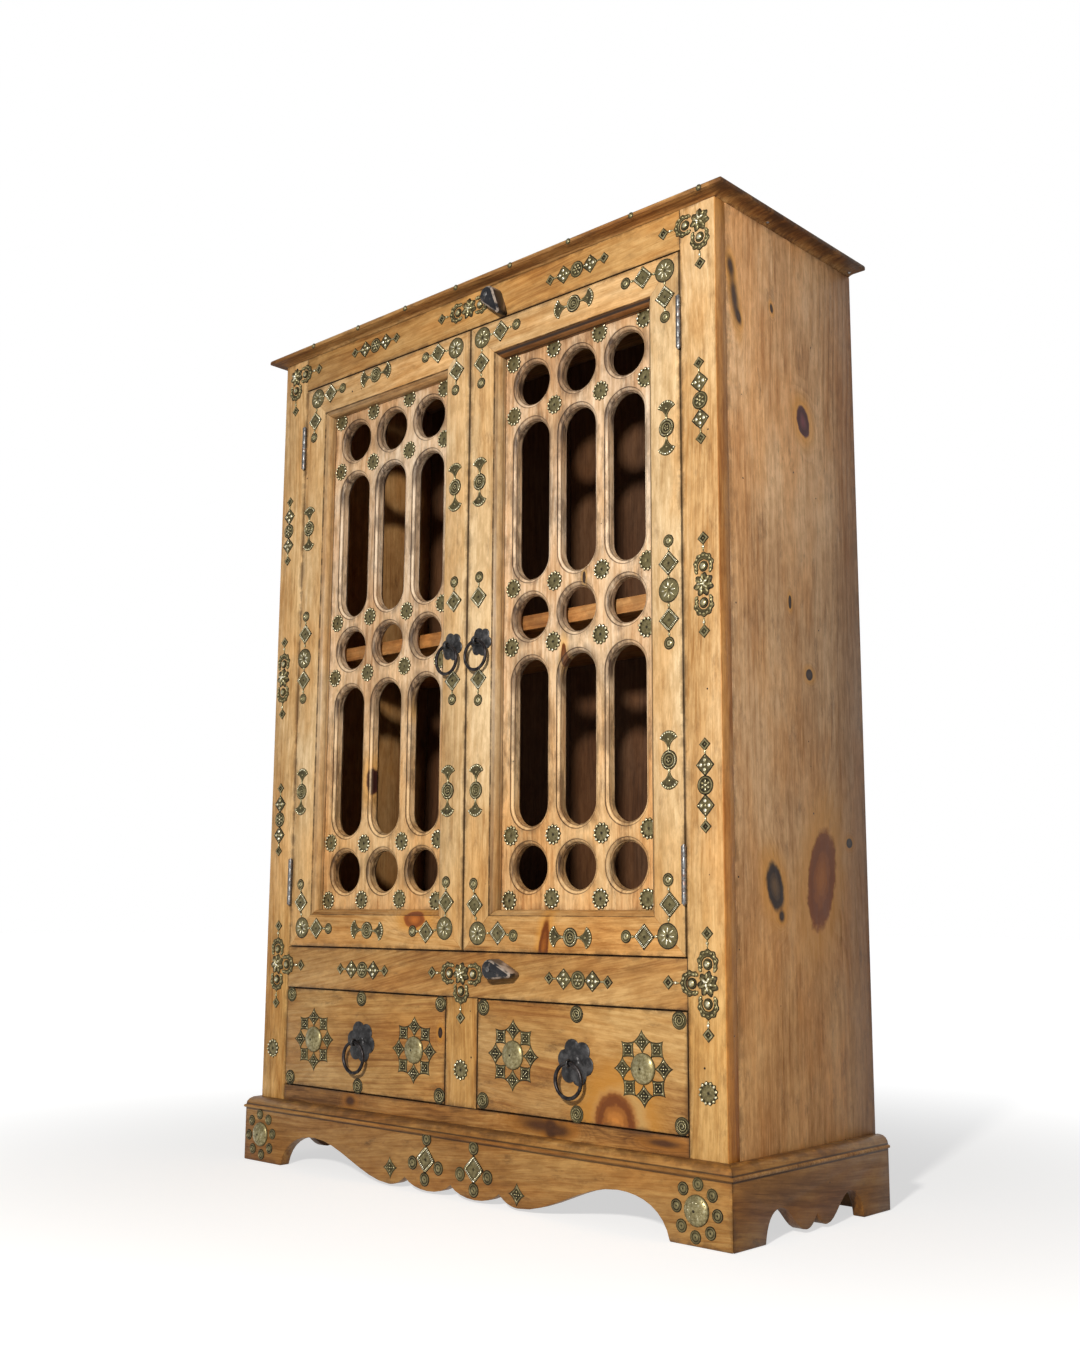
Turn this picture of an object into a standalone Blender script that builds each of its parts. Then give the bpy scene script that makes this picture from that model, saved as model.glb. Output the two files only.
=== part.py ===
"""Two-door pine cabinet with pierced panels, two drawers and a scalloped plinth.

Metres, +Z up. The front faces -Y and the origin is on the floor, in the middle of the cabinet's box.
Places below are measured from the middle of the face frame's front plane at floor level, +Y going back.
"""

import math

import bmesh
import bpy
from mathutils import Matrix, Vector
from mathutils.geometry import interpolate_bezier

# Clearances
TOUCH_GAP = 0.0003
DOOR_GAP = 0.002
DRAWER_GAP = 0.002
DOOR_SWING_CLEARANCE = 0.001
EYE_CLEARANCE = 0.0004
PIN_CLEARANCE = 0.0003
SCREW_CLEARANCE = 0.0003
CUT_MARGIN = 0.002

# Carcase: heights from the floor up, then widths, depths and board thicknesses
PLINTH_HEIGHT = 0.126
BOTTOM_RAIL_SHOW = 0.030
DRAWER_OPENING = 0.196
MIDDLE_RAIL = 0.082
DOOR_OPENING = 1.214
TOP_RAIL = 0.075
CORNICE_THICK = 0.017
CARCASE_LIFT = 0.070
BODY_WIDTH = 1.190
BODY_DEPTH = 0.440
FACE_THICK = 0.030
STILE_WIDTH = 0.075
MULLION_WIDTH = 0.082
SIDE_THICK = 0.022
BACK_THICK = 0.015
BOTTOM_THICK = 0.020
FLOOR_THICK = 0.020
FLOOR_DROP = 0.004
SHELF_THICK = 0.028
SHELF_SHARE = 0.517
SHELF_SETBACK = 0.004
SHELF_HOUSING = 0.008
DIVIDER_THICK = 0.022
GUIDE_HEIGHT = 0.030

# Cornice
CORNICE_SIDE = 0.032
CORNICE_FRONT = 0.025
CORNICE_BACK = 0.006
CORNICE_COVE = 0.007
NOSING_ROUND = 0.003
COVE_STEPS = 4

# Plinth
PLINTH_THICK = 0.0227
PLINTH_BACK_OVERHANG = 0.003
PLINTH_BACK_THICK = 0.022
PLINTH_MOULDING = 0.016
PLINTH_MOULDING_STEPS = 4
FRONT_FOOT = 0.122
FRONT_ARCH = 0.064
FRONT_ARCH_FROM_FOOT = 0.106
FRONT_LOBE_WIDTH = 0.122
FRONT_LOBE_LOW = 0.005
FRONT_CUSP = 0.023
FRONT_OGEE = 0.045
SIDE_FOOT = 0.087
SIDE_ARCH = 0.049
SIDE_ARCH_FROM_FOOT = 0.042
SIDE_LOBE_LOW = 0.006
SIDE_LOBE_OUT = 0.030
SIDE_CUSP = 0.026
LOBE_FULLNESS = 0.2
CURVE_STEPS = 8

# Doors
DOOR_THICK = 0.038
DOOR_MEMBER_FACE = 0.064
STICKING_WIDTH = 0.011
STICKING_QUIRK = 0.003
STICKING_ROUND = 0.015
STICKING_STEPS = 4
PANEL_DEPTH = 0.024
PANEL_THICK = 0.025
PANEL_LAP = 0.008
HOLE_RADIUS = 0.041
HOLE_BORDER = 0.0085
HOLE_BORDER_DEPTH = 0.009
HOLE_PITCH = 0.115
HOLE_COLUMNS = 3
ROW_FOOT = 0.026
ROW_HEAD = 0.015
ROW_GAP_FOOT = 0.016
ROW_GAP_UNDER_MIDDLE = 0.022
ROW_GAP_OVER_MIDDLE = 0.014
ROW_GAP_HEAD = 0.016
HOLE_ROUND_STEPS = 2
HOLE_SIDES = 20

# Butt hinges
HINGE_LENGTH = 0.094
HINGE_FROM_END = 0.1315
KNUCKLE_RADIUS = 0.0045
KNUCKLES = 5
LEAF_THICK = 0.0014
LEAF_DEPTH = 0.028
LEAF_INSET = 0.001
HINGE_PIN_RADIUS = 0.0022
HINGE_PIN_TIP = 0.002
HINGE_SIDES = 12

# Ring pulls
DOOR_PULL_SHARE = 0.476
DOOR_PLATE_RADIUS = 0.028
DOOR_RING_RADIUS = 0.0275
DOOR_RING_WIRE = 0.0032
DOOR_EYE_REACH = 0.016
DRAWER_PULL_SHARE = 0.505
DRAWER_PLATE_RADIUS = 0.040
DRAWER_RING_RADIUS = 0.0290
DRAWER_RING_WIRE = 0.0034
DRAWER_EYE_REACH = 0.020
PLATE_THICK = 0.004
PLATE_PETALS = 6
PETAL_SHARE = 0.42
PETAL_STEPS = 4
PETAL_TURN = math.radians(20.0)
EYE_WALL = 0.0035
EYE_WIDTH = 0.006
STEM_HEIGHT = 0.010
EYE_SIDES = 12
RING_STEPS = 28
RING_SIDES = 8

# Turn-button latches
LATCH_THICK = 0.028
LATCH_HEAD_RADIUS = 0.018
LATCH_TIP_RADIUS = 0.005
LATCH_TIP_OUT = 0.049
LATCH_CHAMFER = 0.0035
LATCH_STEPS = 10
UPPER_LATCH_X = 0.068
UPPER_LATCH_ABOVE_DOOR = 0.044
UPPER_LATCH_ANGLE = math.radians(-54.0)
LOWER_LATCH_X = 0.094
LOWER_LATCH_BELOW_DOOR = 0.029
LOWER_LATCH_ANGLE = math.radians(-10.0)
SCREW_RADIUS = 0.0025
SCREW_DEPTH = 0.020
SCREW_HEAD_RADIUS = 0.0050
SCREW_HEAD_HEIGHT = 0.002
SCREW_SIDES = 12

# Drawers
DRAWER_FRONT_THICK = 0.022
DRAWER_SIDE_THICK = 0.012
DRAWER_SIDE_DROP = 0.018
DRAWER_BACK_ROOM = 0.025
DRAWER_BOTTOM_THICK = 0.008
DRAWER_BOTTOM_LIFT = 0.010

# Levels and half widths that follow from the sizes above
DRAWER_LOW = PLINTH_HEIGHT + BOTTOM_RAIL_SHOW
DRAWER_HIGH = DRAWER_LOW + DRAWER_OPENING
DOOR_LOW = DRAWER_HIGH + MIDDLE_RAIL
DOOR_HIGH = DOOR_LOW + DOOR_OPENING
BODY_TOP = DOOR_HIGH + TOP_RAIL
CARCASE_TOP = BODY_TOP - TOUCH_GAP
FLOOR_TOP = DOOR_LOW - FLOOR_DROP
BODY_HALF = BODY_WIDTH / 2
OPENING_HALF = BODY_HALF - STILE_WIDTH
INSIDE_HALF = BODY_HALF - SIDE_THICK
INSIDE_BACK = BODY_DEPTH - BACK_THICK
SHELF_TOP = DOOR_LOW + DOOR_OPENING * SHELF_SHARE
PANEL_FRONT = PANEL_DEPTH + TOUCH_GAP
PANEL_BACK = PANEL_FRONT + PANEL_THICK
HINGE_GAP = 2 * LEAF_THICK + 3 * TOUCH_GAP
HINGE_X = OPENING_HALF - HINGE_GAP / 2
HINGE_Y = -KNUCKLE_RADIUS - TOUCH_GAP
DOOR_OUTER = OPENING_HALF - HINGE_GAP
DOOR_SWEEP = math.hypot(HINGE_X, DOOR_THICK - HINGE_Y) - HINGE_X
DOOR_INNER = DOOR_SWEEP / 2 + DOOR_SWING_CLEARANCE
DOOR_WIDTH = DOOR_OUTER - DOOR_INNER
DOOR_HEIGHT = DOOR_OPENING - 2 * DOOR_GAP
DOOR_MEMBER = DOOR_MEMBER_FACE + STICKING_WIDTH
HINGE_LOW = DOOR_LOW + DOOR_GAP + HINGE_FROM_END
HINGE_HIGH = DOOR_HIGH - DOOR_GAP - HINGE_FROM_END
DOOR_PULL_HEIGHT = DOOR_LOW + DOOR_OPENING * DOOR_PULL_SHARE
DRAWER_PULL_HEIGHT = DRAWER_LOW + DRAWER_OPENING * DRAWER_PULL_SHARE
DRAWER_LENGTH = INSIDE_BACK - DRAWER_BACK_ROOM
UPPER_LATCH_Z = DOOR_HIGH + UPPER_LATCH_ABOVE_DOOR
LOWER_LATCH_Z = DOOR_LOW - LOWER_LATCH_BELOW_DOOR
DRAWER_CENTRE = (MULLION_WIDTH / 2 + OPENING_HALF) / 2
DRAWER_HALF = (OPENING_HALF - MULLION_WIDTH / 2) / 2 - DRAWER_GAP
LATCH_FRONT = TOUCH_GAP + LATCH_THICK
FRONT_REACH = LATCH_FRONT + TOUCH_GAP + SCREW_HEAD_HEIGHT
BACK_REACH = BODY_DEPTH + CORNICE_BACK
FACE_Y = (FRONT_REACH - BACK_REACH) / 2

SIDES = (("left", -1), ("right", 1))


def clear_scene():
    for obj in list(bpy.data.objects):
        bpy.data.objects.remove(obj, do_unlink=True)


def make_finish(name, colour, roughness, metallic):
    material = bpy.data.materials.new(name)
    material.use_nodes = True
    shader = material.node_tree.nodes["Principled BSDF"]
    shader.inputs["Base Color"].default_value = (*colour, 1.0)
    shader.inputs["Roughness"].default_value = roughness
    shader.inputs["Metallic"].default_value = metallic
    return material


def add_body(name, place, parent=None):
    """An empty at a place measured from the face plane; moving pieces hang on the one on their axis."""
    body = bpy.data.objects.new(name, None)
    bpy.context.scene.collection.objects.link(body)
    body["place"] = tuple(place)
    if parent is not None:
        body.parent = parent
        body.location = Vector(place) - Vector(parent["place"])
    return body


def add_piece(name, bm, finish, body):
    """Makes the mesh an object on its body, with its normals outwards and its origin on the body's."""
    bmesh.ops.recalc_face_normals(bm, faces=bm.faces)
    mesh = bpy.data.meshes.new(name)
    bm.to_mesh(mesh)
    bm.free()
    mesh.transform(Matrix.Translation(-Vector(body["place"])))
    mesh.materials.append(finish)
    piece = bpy.data.objects.new(name, mesh)
    bpy.context.scene.collection.objects.link(piece)
    piece.parent = body
    return piece


def round_off(piece, angle=math.radians(40)):
    piece.data.shade_smooth()
    piece.data.set_sharp_from_angle(angle=angle)


def boolean(piece, tool, operation):
    modifier = piece.modifiers.new(tool.name, "BOOLEAN")
    modifier.operation = operation
    modifier.solver = "EXACT"
    modifier.object = tool
    tool.hide_render = True
    tool.display_type = "WIRE"


def box_mesh(xs, ys, zs):
    bm = bmesh.new()
    spans = [(min(pair), max(pair)) for pair in (xs, ys, zs)]
    centre = Matrix.Translation([(low + high) / 2 for low, high in spans])
    size = Matrix.Diagonal([high - low for low, high in spans] + [1.0])
    bmesh.ops.create_cube(bm, size=1.0, matrix=centre @ size)
    return bm


def board(name, xs, ys, zs, finish, body):
    return add_piece(name, box_mesh(xs, ys, zs), finish, body)


def loft(rings):
    """A closed solid through rings of as many points each, capped at both ends."""
    bm = bmesh.new()
    loops = [[bm.verts.new(point) for point in ring] for ring in rings]
    for here, there in zip(loops, loops[1:]):
        for i in range(len(here)):
            j = (i + 1) % len(here)
            bm.faces.new((here[i], here[j], there[j], there[i]))
    bm.faces.new(loops[0])
    bm.faces.new(loops[-1])
    bmesh.ops.recalc_face_normals(bm, faces=bm.faces)
    return bm


def rod(start, end, radius, sides):
    """A round bar between two points, with flat sides for its facets."""
    along = Vector(end) - Vector(start)
    turn = along.to_track_quat("Z", "Y").to_matrix().to_4x4()
    middle = Matrix.Translation((Vector(start) + Vector(end)) / 2)
    bm = bmesh.new()
    bmesh.ops.create_cone(
        bm, cap_ends=True, segments=sides, radius1=radius, radius2=radius, depth=along.length, matrix=middle @ turn
    )
    return bm


def arc(centre, radius, start, end, steps):
    turns = [start + (end - start) * i / steps for i in range(steps + 1)]
    return [(centre[0] + radius * math.cos(t), centre[1] + radius * math.sin(t)) for t in turns]


def curve(start, start_handle, end_handle, end):
    """Points of one Bezier stretch without its last, so that stretches can follow each other."""
    points = [Vector((*point, 0.0)) for point in (start, start_handle, end_handle, end)]
    return [(point.x, point.y) for point in interpolate_bezier(*points, CURVE_STEPS + 1)[:-1]]


clear_scene()
pine_frame = make_finish("pine_frame", (0.58, 0.35, 0.14), 0.5, 0.0)
pine_side = make_finish("pine_side", (0.36, 0.19, 0.075), 0.5, 0.0)
pine_door = make_finish("pine_door", (0.64, 0.41, 0.19), 0.5, 0.0)
pine_panel = make_finish("pine_panel", (0.60, 0.39, 0.20), 0.6, 0.0)
pine_inside = make_finish("pine_inside", (0.30, 0.17, 0.08), 0.7, 0.0)
hinge_steel = make_finish("hinge_steel", (0.55, 0.55, 0.57), 0.35, 1.0)
black_iron = make_finish("black_iron", (0.03, 0.03, 0.035), 0.45, 0.8)
worn_black = make_finish("worn_black", (0.025, 0.024, 0.028), 0.35, 0.0)

cabinet = add_body("cabinet", (0.0, 0.0, 0.0))
cabinet.location = (0.0, FACE_Y, 0.0)


# Carcase boards behind the face frame
inside = (-INSIDE_HALF + TOUCH_GAP, INSIDE_HALF - TOUCH_GAP)
behind_face = FACE_THICK + TOUCH_GAP
before_back = INSIDE_BACK - TOUCH_GAP
board("back_panel", inside, (INSIDE_BACK, BODY_DEPTH), (CARCASE_LIFT, CARCASE_TOP), pine_inside, cabinet)
board("bottom_board", inside, (behind_face, before_back), (DRAWER_LOW - BOTTOM_THICK, DRAWER_LOW), pine_inside, cabinet)
board("cabinet_floor", inside, (behind_face, before_back), (FLOOR_TOP - FLOOR_THICK, FLOOR_TOP), pine_inside, cabinet)
housed = INSIDE_HALF + SHELF_HOUSING - TOUCH_GAP
shelf_front = PANEL_BACK + SHELF_SETBACK
board(
    "middle_shelf", (-housed, housed), (shelf_front, before_back), (SHELF_TOP - SHELF_THICK, SHELF_TOP), pine_frame, cabinet
)


def side_panel(name, side):
    """One wide board with a housing cut along its inner face for the shelf's end."""
    deep = INSIDE_HALF + SHELF_HOUSING
    groove_low = SHELF_TOP - SHELF_THICK - TOUCH_GAP
    groove_high = SHELF_TOP + TOUCH_GAP
    outline = (
        (BODY_HALF, CARCASE_LIFT),
        (BODY_HALF, CARCASE_TOP),
        (INSIDE_HALF, CARCASE_TOP),
        (INSIDE_HALF, groove_high),
        (deep, groove_high),
        (deep, groove_low),
        (INSIDE_HALF, groove_low),
        (INSIDE_HALF, CARCASE_LIFT),
    )
    rings = [[(side * x, y, z) for x, z in outline] for y in (behind_face, BODY_DEPTH)]
    add_piece(name, loft(rings), pine_side, cabinet)


for word, side in SIDES:
    side_panel(f"side_panel_{word}", side)

# Drawer compartment: the divider stands on its two guide strips, and the outer guides line up with the stiles
compartment = (DRAWER_LOW + TOUCH_GAP, FLOOR_TOP - FLOOR_THICK - TOUCH_GAP)
guide_top = DRAWER_LOW + GUIDE_HEIGHT
divider_outline = (
    (-MULLION_WIDTH / 2, compartment[0]),
    (MULLION_WIDTH / 2, compartment[0]),
    (MULLION_WIDTH / 2, guide_top),
    (DIVIDER_THICK / 2, guide_top),
    (DIVIDER_THICK / 2, compartment[1]),
    (-DIVIDER_THICK / 2, compartment[1]),
    (-DIVIDER_THICK / 2, guide_top),
    (-MULLION_WIDTH / 2, guide_top),
)
divider_rings = [[(x, y, z) for x, z in divider_outline] for y in (behind_face, before_back)]
add_piece("drawer_divider", loft(divider_rings), pine_inside, cabinet)
for word, side in SIDES:
    guide_xs = (side * OPENING_HALF, side * (INSIDE_HALF - TOUCH_GAP))
    guide_zs = (compartment[0], guide_top)
    board(f"drawer_guide_{word}", guide_xs, (behind_face, before_back), guide_zs, pine_inside, cabinet)

# Face frame
face = (0.0, FACE_THICK)
between_stiles = (-OPENING_HALF + TOUCH_GAP, OPENING_HALF - TOUCH_GAP)
for word, side in SIDES:
    board(f"face_stile_{word}", (side * OPENING_HALF, side * BODY_HALF), face, (CARCASE_LIFT, CARCASE_TOP), pine_frame, cabinet)
face_rail_top = board("face_rail_top", between_stiles, face, (DOOR_HIGH, CARCASE_TOP), pine_frame, cabinet)
face_rail_middle = board("face_rail_middle", between_stiles, face, (DRAWER_HIGH, DOOR_LOW), pine_frame, cabinet)
board("face_rail_bottom", between_stiles, face, (CARCASE_LIFT, DRAWER_LOW), pine_frame, cabinet)
mullion_zs = (DRAWER_LOW + TOUCH_GAP, DRAWER_HIGH - TOUCH_GAP)
board("drawer_mullion", (-MULLION_WIDTH / 2, MULLION_WIDTH / 2), face, mullion_zs, pine_frame, cabinet)


def cornice_ring(share, z, inset=0.0):
    """The cornice's outline at one height, where share is how much of the overhang it has there."""
    x = BODY_HALF + CORNICE_SIDE * share - inset
    front = -CORNICE_FRONT * share + inset
    back = BODY_DEPTH + CORNICE_BACK * share - inset
    return ((-x, front, z), (x, front, z), (x, back, z), (-x, back, z))


# Cornice board: the cove rises from the body out to the rounded nosing
cove_turns = [math.pi / 2 * i / COVE_STEPS for i in range(COVE_STEPS + 1)]
cornice_rings = [cornice_ring(1 - math.cos(t), BODY_TOP + CORNICE_COVE * math.sin(t)) for t in cove_turns]
cornice_top = BODY_TOP + CORNICE_THICK
cornice_rings.append(cornice_ring(1.0, cornice_top - NOSING_ROUND))
cornice_rings.append(cornice_ring(1.0, cornice_top, NOSING_ROUND))
add_piece("top_board", loft(cornice_rings), pine_frame, cabinet)


def plinth_profile(points, inner, outer, steps):
    """Rings of an apron outline from its inner to its outer face, with the top edge rounded over outside."""
    rings = [[(u, depth, z) for u, z in points] for depth in (inner, outer - PLINTH_MOULDING)]
    for i in range(1, steps + 1):
        turn = math.pi / 2 * i / steps
        depth = outer - PLINTH_MOULDING * (1 - math.sin(turn))
        drop = PLINTH_MOULDING * (1 - math.cos(turn))
        rings.append([(u, depth, z - drop if z == PLINTH_HEIGHT else z) for u, z in points])
    return rings


def plinth_board(name, points, to_place, mitres):
    """An apron board from its outline; each mitre is a plane's point and the normal of the side cut away."""
    inner, outer = TOUCH_GAP, TOUCH_GAP + PLINTH_THICK
    rings = plinth_profile(points, inner, outer, PLINTH_MOULDING_STEPS)
    bm = loft([[to_place(*point) for point in ring] for ring in rings])
    for point, normal in mitres:
        cut = bmesh.ops.bisect_plane(
            bm, geom=bm.verts[:] + bm.edges[:] + bm.faces[:], plane_co=point, plane_no=normal, clear_outer=True
        )
        rim = [edge for edge in cut["geom_cut"] if isinstance(edge, bmesh.types.BMEdge)]
        bmesh.ops.contextual_create(bm, geom=rim)
    return add_piece(name, bm, pine_frame, cabinet)


def front_apron(half):
    """Right half of the front apron's lower edge, from the middle cusp out to the foot."""
    lobe = FRONT_LOBE_WIDTH
    lobe_handle = (4 * FRONT_LOBE_LOW - FRONT_CUSP) / 3
    ogee = lobe + FRONT_OGEE
    foot = half - FRONT_FOOT
    peak = foot - FRONT_ARCH_FROM_FOOT
    reach = (peak - ogee) / 3
    edge = curve((0.0, FRONT_CUSP), (lobe * LOBE_FULLNESS, lobe_handle), (lobe * (1 - LOBE_FULLNESS), lobe_handle), (lobe, FRONT_CUSP))
    edge += curve(
        (lobe, FRONT_CUSP),
        (lobe + FRONT_OGEE * 0.3, FRONT_CUSP * 0.45),
        (ogee - FRONT_OGEE * 0.35, FRONT_LOBE_LOW),
        (ogee, FRONT_LOBE_LOW),
    )
    edge += curve((ogee, FRONT_LOBE_LOW), (ogee + reach, FRONT_LOBE_LOW), (peak - reach, FRONT_ARCH), (peak, FRONT_ARCH))
    edge += curve(
        (peak, FRONT_ARCH),
        (peak + FRONT_ARCH_FROM_FOOT / 2, FRONT_ARCH),
        (foot - FRONT_ARCH_FROM_FOOT * 0.1, FRONT_ARCH * 0.7),
        (foot, 0.0),
    )
    return edge + [(foot, 0.0)]


def side_apron(middle, end):
    """Half of a side apron's lower edge, from its middle cusp out to the foot that ends at end."""
    away = 1 if end > middle else -1
    low = middle + away * SIDE_LOBE_OUT
    foot = end - away * SIDE_FOOT
    peak = foot - away * SIDE_ARCH_FROM_FOOT
    reach = (peak - low) / 2.5
    edge = curve(
        (middle, SIDE_CUSP),
        (middle + away * SIDE_LOBE_OUT * 0.3, SIDE_CUSP * 0.5),
        (low - away * SIDE_LOBE_OUT * 0.4, SIDE_LOBE_LOW),
        (low, SIDE_LOBE_LOW),
    )
    edge += curve((low, SIDE_LOBE_LOW), (low + reach, SIDE_LOBE_LOW), (peak - reach, SIDE_ARCH), (peak, SIDE_ARCH))
    edge += curve(
        (peak, SIDE_ARCH),
        (peak + away * SIDE_ARCH_FROM_FOOT * 0.6, SIDE_ARCH),
        (foot - away * SIDE_ARCH_FROM_FOOT * 0.1, SIDE_ARCH * 0.6),
        (foot, 0.0),
    )
    return edge + [(foot, 0.0)]


# Plinth: scalloped boards mitred at the front corners, and a plain board under the back
plinth_half = BODY_HALF + TOUCH_GAP + PLINTH_THICK
plinth_front_y = -TOUCH_GAP - PLINTH_THICK
right_half = front_apron(plinth_half) + [(plinth_half, 0.0), (plinth_half, PLINTH_HEIGHT)]
left_half = [(-x, z) for x, z in reversed(right_half[1:])]
corner = Vector((plinth_half, plinth_front_y, 0.0))
mitre_gap = Vector((TOUCH_GAP, 0.0, 0.0))
plinth_board(
    "plinth_front",
    left_half + right_half,
    lambda x, depth, z: (x, -depth, z),
    [
        (corner - mitre_gap, (1.0, 1.0, 0.0)),
        (Vector((-corner.x, corner.y, 0.0)) + mitre_gap, (-1.0, 1.0, 0.0)),
    ],
)
plinth_rear_y = BODY_DEPTH + PLINTH_BACK_OVERHANG
plinth_middle_y = (plinth_front_y + plinth_rear_y) / 2
side_edge = list(reversed(side_apron(plinth_middle_y, plinth_front_y)))
side_edge += side_apron(plinth_middle_y, plinth_rear_y)[1:]
side_points = [(plinth_front_y, PLINTH_HEIGHT), (plinth_front_y, 0.0)] + side_edge
side_points += [(plinth_rear_y, 0.0), (plinth_rear_y, PLINTH_HEIGHT)]
for word, side in SIDES:
    plinth_board(
        f"plinth_{word}",
        side_points,
        lambda y, depth, z, side=side: (side * (BODY_HALF + depth), y, z),
        [(Vector((side * corner.x, corner.y, 0.0)), (-side, -1.0, 0.0))],
    )
board(
    "plinth_back",
    (-BODY_HALF, BODY_HALF),
    (BODY_DEPTH - PLINTH_BACK_THICK, BODY_DEPTH),
    (0.0, CARCASE_LIFT - TOUCH_GAP),
    pine_inside,
    cabinet,
)


def member_profile():
    """Section of a door member: (distance in from its outer edge, depth behind the face)."""
    inner = DOOR_MEMBER_FACE + STICKING_WIDTH
    rebate = inner - PANEL_LAP
    turns = [math.pi / 2 * i / STICKING_STEPS for i in range(STICKING_STEPS + 1)]
    ovolo = [
        (
            DOOR_MEMBER_FACE + STICKING_WIDTH * math.sin(t),
            STICKING_QUIRK + STICKING_ROUND * (1 - math.cos(t)),
        )
        for t in turns
    ]
    return (
        [(0.0, 0.0), (DOOR_MEMBER_FACE, 0.0)]
        + ovolo
        + [(inner, PANEL_DEPTH), (rebate, PANEL_DEPTH), (rebate, DOOR_THICK), (0.0, DOOR_THICK)]
    )


def door_member(name, length, to_place, body):
    """A mitred frame member whose ends run in at 45 degrees, with half the mitre's gap at each."""
    gap = TOUCH_GAP / math.sqrt(2)
    section = member_profile()
    rings = [
        [to_place(across + gap, across, depth) for across, depth in section],
        [to_place(length - across - gap, across, depth) for across, depth in section],
    ]
    return add_piece(name, loft(rings), pine_door, body)


def stadium(radius, straight):
    """Outline of a round hole, or of a round-ended slot with that much straight side, about its middle."""
    half = straight / 2
    steps = HOLE_SIDES // 2
    return arc((0.0, half), radius, 0.0, math.pi, steps) + arc((0.0, -half), radius, math.pi, 2 * math.pi, steps)


def hole_tool(name, radius, straight, centre, body):
    """Cutter for one opening: straight through, then rounded over to its routed border at the panel's face."""
    turns = [math.pi / 2 * (1 - i / HOLE_ROUND_STEPS) for i in range(HOLE_ROUND_STEPS + 1)]
    rounded = [
        (radius + HOLE_BORDER * (1 - math.sin(t)), PANEL_FRONT + HOLE_BORDER_DEPTH * (1 - math.cos(t))) for t in turns
    ]
    levels = [(radius, PANEL_BACK + CUT_MARGIN)] + rounded + [(radius + HOLE_BORDER, PANEL_FRONT - CUT_MARGIN)]
    rings = [[(centre[0] + x, y, centre[1] + z) for x, z in stadium(ring, straight)] for ring, y in levels]
    if straight == 0.0:
        rings = [ring[: HOLE_SIDES // 2] + ring[HOLE_SIDES // 2 + 1 : -1] for ring in rings]
    return add_piece(name, loft(rings), pine_panel, body)


def panel_rows(low, high):
    """(straight side, middle height) of the five rows, which alternate round holes and slots."""
    outer = 2 * (HOLE_RADIUS + HOLE_BORDER)
    gaps = (ROW_GAP_FOOT, ROW_GAP_UNDER_MIDDLE, ROW_GAP_OVER_MIDDLE, ROW_GAP_HEAD)
    slot = (high - low - ROW_FOOT - ROW_HEAD - sum(gaps) - 3 * outer) / 2
    lengths = (outer, slot, outer, slot, outer)
    rows = []
    foot = low + ROW_FOOT
    for length, gap in zip(lengths, gaps + (0.0,)):
        rows.append((length - outer, foot + length / 2))
        foot += length + gap
    return rows


def pierced_panel(name, xs, zs, body):
    """Thick board in the door's rebate, pierced in rows; the rows keep to what the frame leaves in view."""
    rebate = PANEL_LAP - TOUCH_GAP
    panel = board(
        name, (xs[0] - rebate, xs[1] + rebate), (PANEL_FRONT, PANEL_BACK), (zs[0] - rebate, zs[1] + rebate), pine_panel, body
    )
    middle = (xs[0] + xs[1]) / 2
    for row, (straight, z) in enumerate(panel_rows(*zs)):
        for column in range(HOLE_COLUMNS):
            x = middle + (column - (HOLE_COLUMNS - 1) / 2) * HOLE_PITCH
            tool = hole_tool(f"{name}_hole_{row}_{column}", HOLE_RADIUS, straight, (x, z), body)
            boolean(panel, tool, "DIFFERENCE")


def butt_hinge(name, side, middle, door):
    """Frame leaf with the fixed pin, and a door leaf whose knuckles turn on it, between the two edges."""
    low, high = middle - HINGE_LENGTH / 2, middle + HINGE_LENGTH / 2
    step = HINGE_LENGTH / KNUCKLES
    axis_x = side * HINGE_X
    for kind, away, body in (("frame", side, cabinet), ("door", -side, door)):
        leaf = f"{name}_{kind}_leaf"
        leaf_xs = (axis_x + away * TOUCH_GAP / 2, axis_x + away * (TOUCH_GAP / 2 + LEAF_THICK))
        plate = board(leaf, leaf_xs, (HINGE_Y, LEAF_DEPTH), (low + LEAF_INSET, high - LEAF_INSET), hinge_steel, body)
        barrel_mesh = rod((axis_x, HINGE_Y, low), (axis_x, HINGE_Y, high), KNUCKLE_RADIUS, HINGE_SIDES)
        boolean(plate, add_piece(f"{leaf}_barrel", barrel_mesh, hinge_steel, body), "UNION")
        reach = KNUCKLE_RADIUS + CUT_MARGIN
        for i in range(KNUCKLES):
            if (i % 2 == 0) == (kind == "frame"):
                continue
            start = low + i * step - TOUCH_GAP / 2 - (CUT_MARGIN if i == 0 else 0.0)
            end = low + (i + 1) * step + TOUCH_GAP / 2 + (CUT_MARGIN if i == KNUCKLES - 1 else 0.0)
            gap_mesh = box_mesh((axis_x - reach, axis_x + reach), (HINGE_Y - reach, 0.0), (start, end))
            boolean(plate, add_piece(f"{leaf}_gap_{i}", gap_mesh, hinge_steel, body), "DIFFERENCE")
        if kind == "frame":
            ends = (low - HINGE_PIN_TIP, high + HINGE_PIN_TIP)
            radius, operation = HINGE_PIN_RADIUS, "UNION"
        else:
            ends = (low - CUT_MARGIN, high + CUT_MARGIN)
            radius, operation = HINGE_PIN_RADIUS + PIN_CLEARANCE, "DIFFERENCE"
        pin_mesh = rod((axis_x, HINGE_Y, ends[0]), (axis_x, HINGE_Y, ends[1]), radius, HINGE_SIDES)
        boolean(plate, add_piece(f"{leaf}_pin", pin_mesh, hinge_steel, body), operation)


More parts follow.
